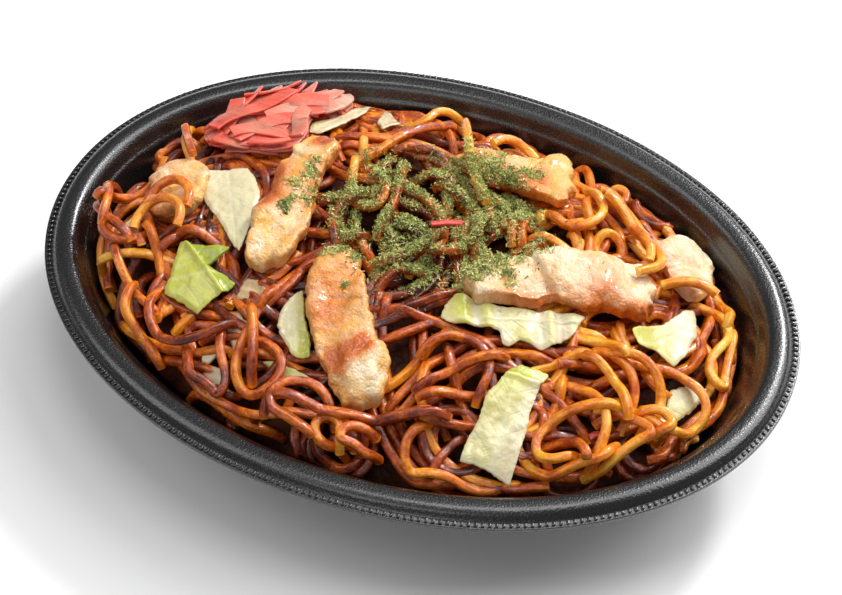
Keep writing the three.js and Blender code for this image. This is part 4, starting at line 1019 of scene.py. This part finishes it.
def strand_facts(path, tone, radius):
    """How sauced, thick and twisted a strand is from point to point."""
    run = np.arange(len(path))
    start = rng.uniform(0, 900)
    ripple = lambda low, high: np.sin(run * rng.uniform(low, high) + rng.uniform(0, 6))
    shade = 0.10 * ripple(0.08, 0.2) + 0.06 * ripple(0.3, 0.5)
    ends = 0.28 * (np.exp(-run / 0.8) + np.exp(-run[::-1] / 0.8))
    roll = rng.uniform(0, 1.5) + rng.uniform(-0.6, 0.6) * run / 25 + 0.3 * np.sin(run * 0.11 + rng.uniform(0, 6))
    girth = radius / (NOODLE / 2) * (1 + 0.05 * np.sin(run * 0.25 + rng.uniform(0, 6)))
    return {"tone": tone + shade + ends, "girth": girth, "roll": roll, "run": start + run}


def place_tone(x, y):
    """Tone by place: darker towards the near left as painted shade, lighter towards the far right as painted light, and
    a little lighter again at the left end.
    """
    return 0.51 + 0.19 * np.clip((x * 0.36 + y * 0.8) / 72, -1, 1) + 0.07 * np.clip((-40 - x) / 30, 0, 1)


def press_piece(piece):
    """Adds a finished piece to the pile."""
    pile.press(np.array([v.co for v in piece.data.vertices]) / MM, 0.5)


# bundles of strands: each goes, out of several tries, where the pile is lowest,
# and the last ones start from the hollows that are left
runs = []
for n in range(BUNDLES):
    best = None
    filling = n > 0.6 * BUNDLES
    if filling:
        hollow = np.argwhere((heap_ratio(pile.gx, pile.gy) < 0.99) & (aim - pile.top > 2.2))
    for _ in range(40 if filling else 14):
        a, r = rng.uniform(0, 2 * np.pi), math.sqrt(rng.uniform(0, 1)) * 0.97
        x, y = in_ellipse(HEAP_MIDDLE, HEAP_HALF, a, r)
        if filling and len(hollow):
            j, i = hollow[rng.integers(len(hollow))]
            x, y = pile.x[i], pile.y[j]
            r = float(heap_ratio(x, y))
        # near the wall strands run round it
        round_wall = math.degrees(math.atan2(x * HEAP_HALF[1] ** 2, -y * HEAP_HALF[0] ** 2))
        heading = rng.uniform(0, 360) if r < 0.62 else round_wall + rng.choice([0, 180]) + rng.normal(0, 26)
        length = rng.uniform(24, 60) if filling else rng.uniform(55, 110)
        plan = track(x, y, heading, length, *(rng.normal(0, 48) + rng.uniform(-32, 32, 4)))
        if filling:
            plan += (x, y) - plan[len(plan) // 2]
        if heap_ratio(*plan.T).max() > 1.04:
            continue
        room = (aim - pile.top)[pile.cell(*plan.T)]
        score = np.clip(room, -3, 7).mean() - 2.0 * (room < 0.2).mean()
        if best is None or score > best[0]:
            best = (score, plan)
    if best is None or best[0] < 0.3:
        continue
    plan = best[1]
    members = rng.integers(1, 3 if filling else 5)
    # the place term is painted light and shade; the first bundles, which lie deepest in the pile, are darkened a
    # further 0.10 as painted shade
    tone = place_tone(*plan[len(plan) // 2]) + rng.normal(0, 0.13) - 0.10 * (n < 0.45 * BUNDLES)
    for k in range(members):
        radius = rng.uniform(1.18, 1.45)
        drift = np.linspace(rng.normal(0, 1.4), rng.normal(0, 1.4), len(plan))[:, None]
        side = plan + sideways(plan) * ((k - (members - 1) / 2) * SPACING + drift)
        lo, hi = rng.integers(0, 9), len(plan) - rng.integers(0, 9)
        path = laid(side[lo:hi], radius, TUCK if rng.random() < 0.8 else 0.0)
        rise = path[:, 2] + radius - heap_top(*path[:, :2].T)
        if heap_ratio(*path[:, :2].T).max() > 1.05 or rise.max() > 1.0:
            continue
        pile.press(path, radius)
        runs.append((path, strand_facts(path, tone + rng.normal(0, 0.05), radius)))
for name in LOW_LEAVES:
    press_piece(leaves[name])
for tone, x, y, heading, length, *turns in LAID:
    plan = track(x, y, heading, length, *turns)
    head = plan[0] + (plan[0] - plan[1]) * np.arange(TUCK, 0, -1)[:, None]
    tail = plan[-1] + (plan[-1] - plan[-2]) * np.arange(1, TUCK + 1)[:, None]
    path = laid(np.vstack([head, plan, tail]), LAID_RADIUS, TUCK)
    pile.press(path, LAID_RADIUS)
    # the place term darkens the near side as painted shade and lightens the far right as painted light
    shade = tone - 0.06 + 0.10 * (place_tone(*path[:, :2].T) - 0.5) + 0.07 * np.clip((-40 - path[:, 0]) / 30, 0, 1)
    runs.append((path, strand_facts(path, shade, LAID_RADIUS)))
for piece in [*leaves.values(), *pork_pieces]:
    press_piece(piece)
for tone, x, y, heading, length, *turns in CROSSING:
    path = laid(track(x, y, heading, length, *turns), LAID_RADIUS, covered=False)
    pile.press(path, LAID_RADIUS)
    runs.append((path, strand_facts(path, tone, LAID_RADIUS)))
share = len(runs) // 3 + 1
noodle_pieces = []
for k, kind in enumerate(("under", "middle", "top")):
    piece = strands("noodles_" + kind, runs[k * share:(k + 1) * share], NOODLE, NOODLE, NOODLE_CORNER, sauced)
    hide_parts("noodles")
    noodle_pieces.append(piece)

# ---------------------------------------------------------------------------
# Green laver. Dried seaweed rubbed to flakes and shaken over the middle; it
# clings in feathery clumps wherever the noodles and the pork are wet.
# ---------------------------------------------------------------------------
LAVER_MIDDLE, LAVER_HALF, DROP_FROM = (2.0, 14.0), (34.0, 27.0), 100
# clumps, flakes in each, and flakes strewn between them over a wider spread
CLUMPS, FLAKES, STRAY, STRAY_SPREAD = 480, 64, 2400, 15.0
# clumps on the pork, as places in plan and spread
LAVER_ON_PORK = [((-38, 8), 4.0), ((-37, 0), 3.0), ((-40, 14), 2.5), ((-17, -13), 5.0), ((-13, -18), 3.5),
                 ((-21, -16), 3.0), ((2, 40), 4.0), ((8, 38), 4.0), ((15, 41), 4.0), ((21, 43), 3.0),
                 ((26, -4), 4.0), ((22, -6), 3.0), ((31, 0), 3.0)]


def laver_finish():
    f = Finish("green_laver")
    fine = f.cloud(700.0, 3.0)
    colour = f.ramp((f.value("tone") + (fine - 0.5) * 0.5).clip(),
                    [(0.0, (0.03, 0.045, 0.010)), (0.35, (0.15, 0.185, 0.036)),
                     (0.7, (0.40, 0.43, 0.11)), (1.0, (0.66, 0.66, 0.25))])
    return f.close(colour, (0.5 + fine * 0.3).clip(), f.bump(fine, 0.0002), shine=0.4)


tree, given, result = new_tree("laver_flakes", Size="Float", Crumple="Float", Finish="Material")
flake = wired(tree, "GeometryNodeMeshGrid", {"Size X": 1.3, "Size Y": 0.3, "Vertices X": 3, "Vertices Y": 2})
turn = wired(tree, "GeometryNodeInputNamedAttribute", {"Name": "turn"}, data_type="FLOAT_VECTOR")
size = wired(tree, "GeometryNodeInputNamedAttribute", {"Name": "size"}, data_type="FLOAT")
true_size = wired(tree, "ShaderNodeMath", {0: size, 1: given["Size"]}, operation="MULTIPLY")
row = wired(tree, "GeometryNodeInstanceOnPoints",
            {"Points": given["Geometry"], "Instance": flake, "Rotation": turn, "Scale": true_size})
whole = wired(tree, "GeometryNodeRealizeInstances", {0: row})
rough = wired(tree, "ShaderNodeTexNoise", {"Scale": 1400.0, "Detail": 1.0}, noise_dimensions="3D").outputs["Color"]
centred = wired(tree, "ShaderNodeVectorMath", {0: rough, 1: (0.5, 0.5, 0.5)}, operation="SUBTRACT")
shift = wired(tree, "ShaderNodeVectorMath", {0: centred, "Scale": given["Crumple"]}, operation="SCALE")
end_tree(tree, wired(tree, "GeometryNodeSetPosition", {"Geometry": whole, "Offset": shift}), given, result)

rng = np.random.default_rng(19)
graph = bpy.context.evaluated_depsgraph_get()
grounds = [BVHTree.FromObject(piece, graph) for piece in noodle_pieces + pork_pieces]
clumps = []
for n in range(CLUMPS):
    a, r = rng.uniform(0, 2 * np.pi), math.sqrt(rng.uniform(0, 1)) ** 0.9
    x, y = in_ellipse(LAVER_MIDDLE, LAVER_HALF, a, r)
    if bow(x * 0.12, y * 0.12, 6.0) > -0.16:
        clumps.append((x, y, rng.uniform(0.8, 3.0), FLAKES))
for (x, y), spread in LAVER_ON_PORK:
    for _ in range(5):
        clumps.append((x + rng.normal(0, spread), y + rng.normal(0, spread), rng.uniform(0.6, 1.6), FLAKES))
clumps.append((*LAVER_MIDDLE, STRAY_SPREAD, STRAY))
places, turns, sizes, tones = [], [], [], []
for x, y, spread, flakes in clumps:
    shade = rng.uniform(0.45, 1.0)
    for _ in range(flakes):
        # each flake falls straight down on the highest strand or slice
        start = Vector(((x + rng.normal(0, spread)) * MM, (y + rng.normal(0, spread)) * MM, DROP_FROM * MM))
        hits = [g.ray_cast(start, Vector((0, 0, -1))) for g in grounds]
        hits = [h for h in hits if h[0] is not None]
        if not hits:
            continue
        spot, facing = max(hits, key=lambda h: h[0].z)[:2]
        if facing.z < 0:
            facing = -facing
        lie = facing.to_track_quat("Z", "Y").to_euler()
        places.append(tuple(spot + facing * rng.uniform(0.05, 0.6) * MM))
        turns.append((lie.x + rng.normal(0, 0.6), lie.y + rng.normal(0, 0.6), rng.uniform(0, 6.3)))
        sizes.append(rng.uniform(0.35, 1.25))
        tones.append(shade + rng.normal(0, 0.2))
laver = new_object("laver_flakes", places, turn=turns, size=sizes, tone=tones)
grow(laver, tree, Size=MM, Crumple=0.7 * MM, Finish=laver_finish())
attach(laver, "root")
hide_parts("noodles")

# ---------------------------------------------------------------------------
# Stage. A white table, soft light from the far right and above, a pale fill
# from the left, and the camera that looks down on the tray from its near side.
# ---------------------------------------------------------------------------
TABLE_HALF = 3000
TABLE_CORNERS = [(x * TABLE_HALF, y * TABLE_HALF, 0) for x, y in ((-1, -1), (1, -1), (1, 1), (-1, 1))]
# metres and degrees: the way the camera looks from, how far off, and what it aims at
VIEW_AZIMUTH, VIEW_HEIGHT, VIEW_FAR, VIEW_AIM = 22.0, 49.1, 0.6442, (0, 0, 0.036)
# the picture's width, the lens and the picture's shift, all in pixels
VIEW_WIDTH, VIEW_LENS, VIEW_SHIFT = 842, 2087, (5.8, -21.3)
SENSOR = 36
LIGHT_AIM = Vector((0, 0, 0.03))
# place as seen by the camera (right, away, up), width and height, watts
LIGHTS = {"window": ((1.1, 0.6, 1.4), (1.7, 1.4), 29.0), "lamp": ((1.0, 1.2, 1.3), (0.3, 0.3), 22.0),
          "ceiling": ((0.1, 0.1, 1.9), (0.8, 0.8), 9.0), "left": ((-1.2, 0.0, 1.5), (1.1, 1.1), 8.0),
          "front": ((-0.4, -0.9, 0.9), (0.6, 0.4), 1.6)}

white_table = Finish("white_table").close((0.90, 0.90, 0.90, 1), 0.7)
floor = new_piece("table", TABLE_CORNERS, [(0, 1, 2, 3)], white_table, smooth=False)

world = bpy.data.worlds.new("studio")
bpy.context.scene.world = world
world.use_nodes = True
sky = world.node_tree.nodes["Background"]
sky.inputs["Color"].default_value = (1.0, 1.0, 1.0, 1)
sky.inputs["Strength"].default_value = 0.18

a, e = math.radians(VIEW_AZIMUTH), math.radians(VIEW_HEIGHT)
for name, ((x, y, z), size, power) in LIGHTS.items():
    light = bpy.data.lights.new(name, "AREA")
    light.shape, light.size, light.size_y = "RECTANGLE", *size
    light.energy = power
    lamp = bpy.data.objects.new(name, light)
    lamp.location = (x * math.cos(a) - y * math.sin(a), x * math.sin(a) + y * math.cos(a), z)
    lamp.rotation_euler = (LIGHT_AIM - lamp.location).to_track_quat("-Z", "Y").to_euler()
    bpy.context.collection.objects.link(lamp)

back = Vector((math.sin(a) * math.cos(e), -math.cos(a) * math.cos(e), math.sin(e)))
lens = bpy.data.cameras.new("camera")
lens.sensor_width = SENSOR
lens.lens = SENSOR * VIEW_LENS / VIEW_WIDTH
lens.shift_x, lens.shift_y = (shift / VIEW_WIDTH for shift in VIEW_SHIFT)
camera = bpy.data.objects.new("camera", lens)
camera.location = Vector(VIEW_AIM) + back * VIEW_FAR
camera.rotation_euler = back.to_track_quat("Z", "Y").to_euler()
bpy.context.collection.objects.link(camera)
bpy.context.scene.camera = camera
bpy.context.scene.view_settings.view_transform = "Standard"
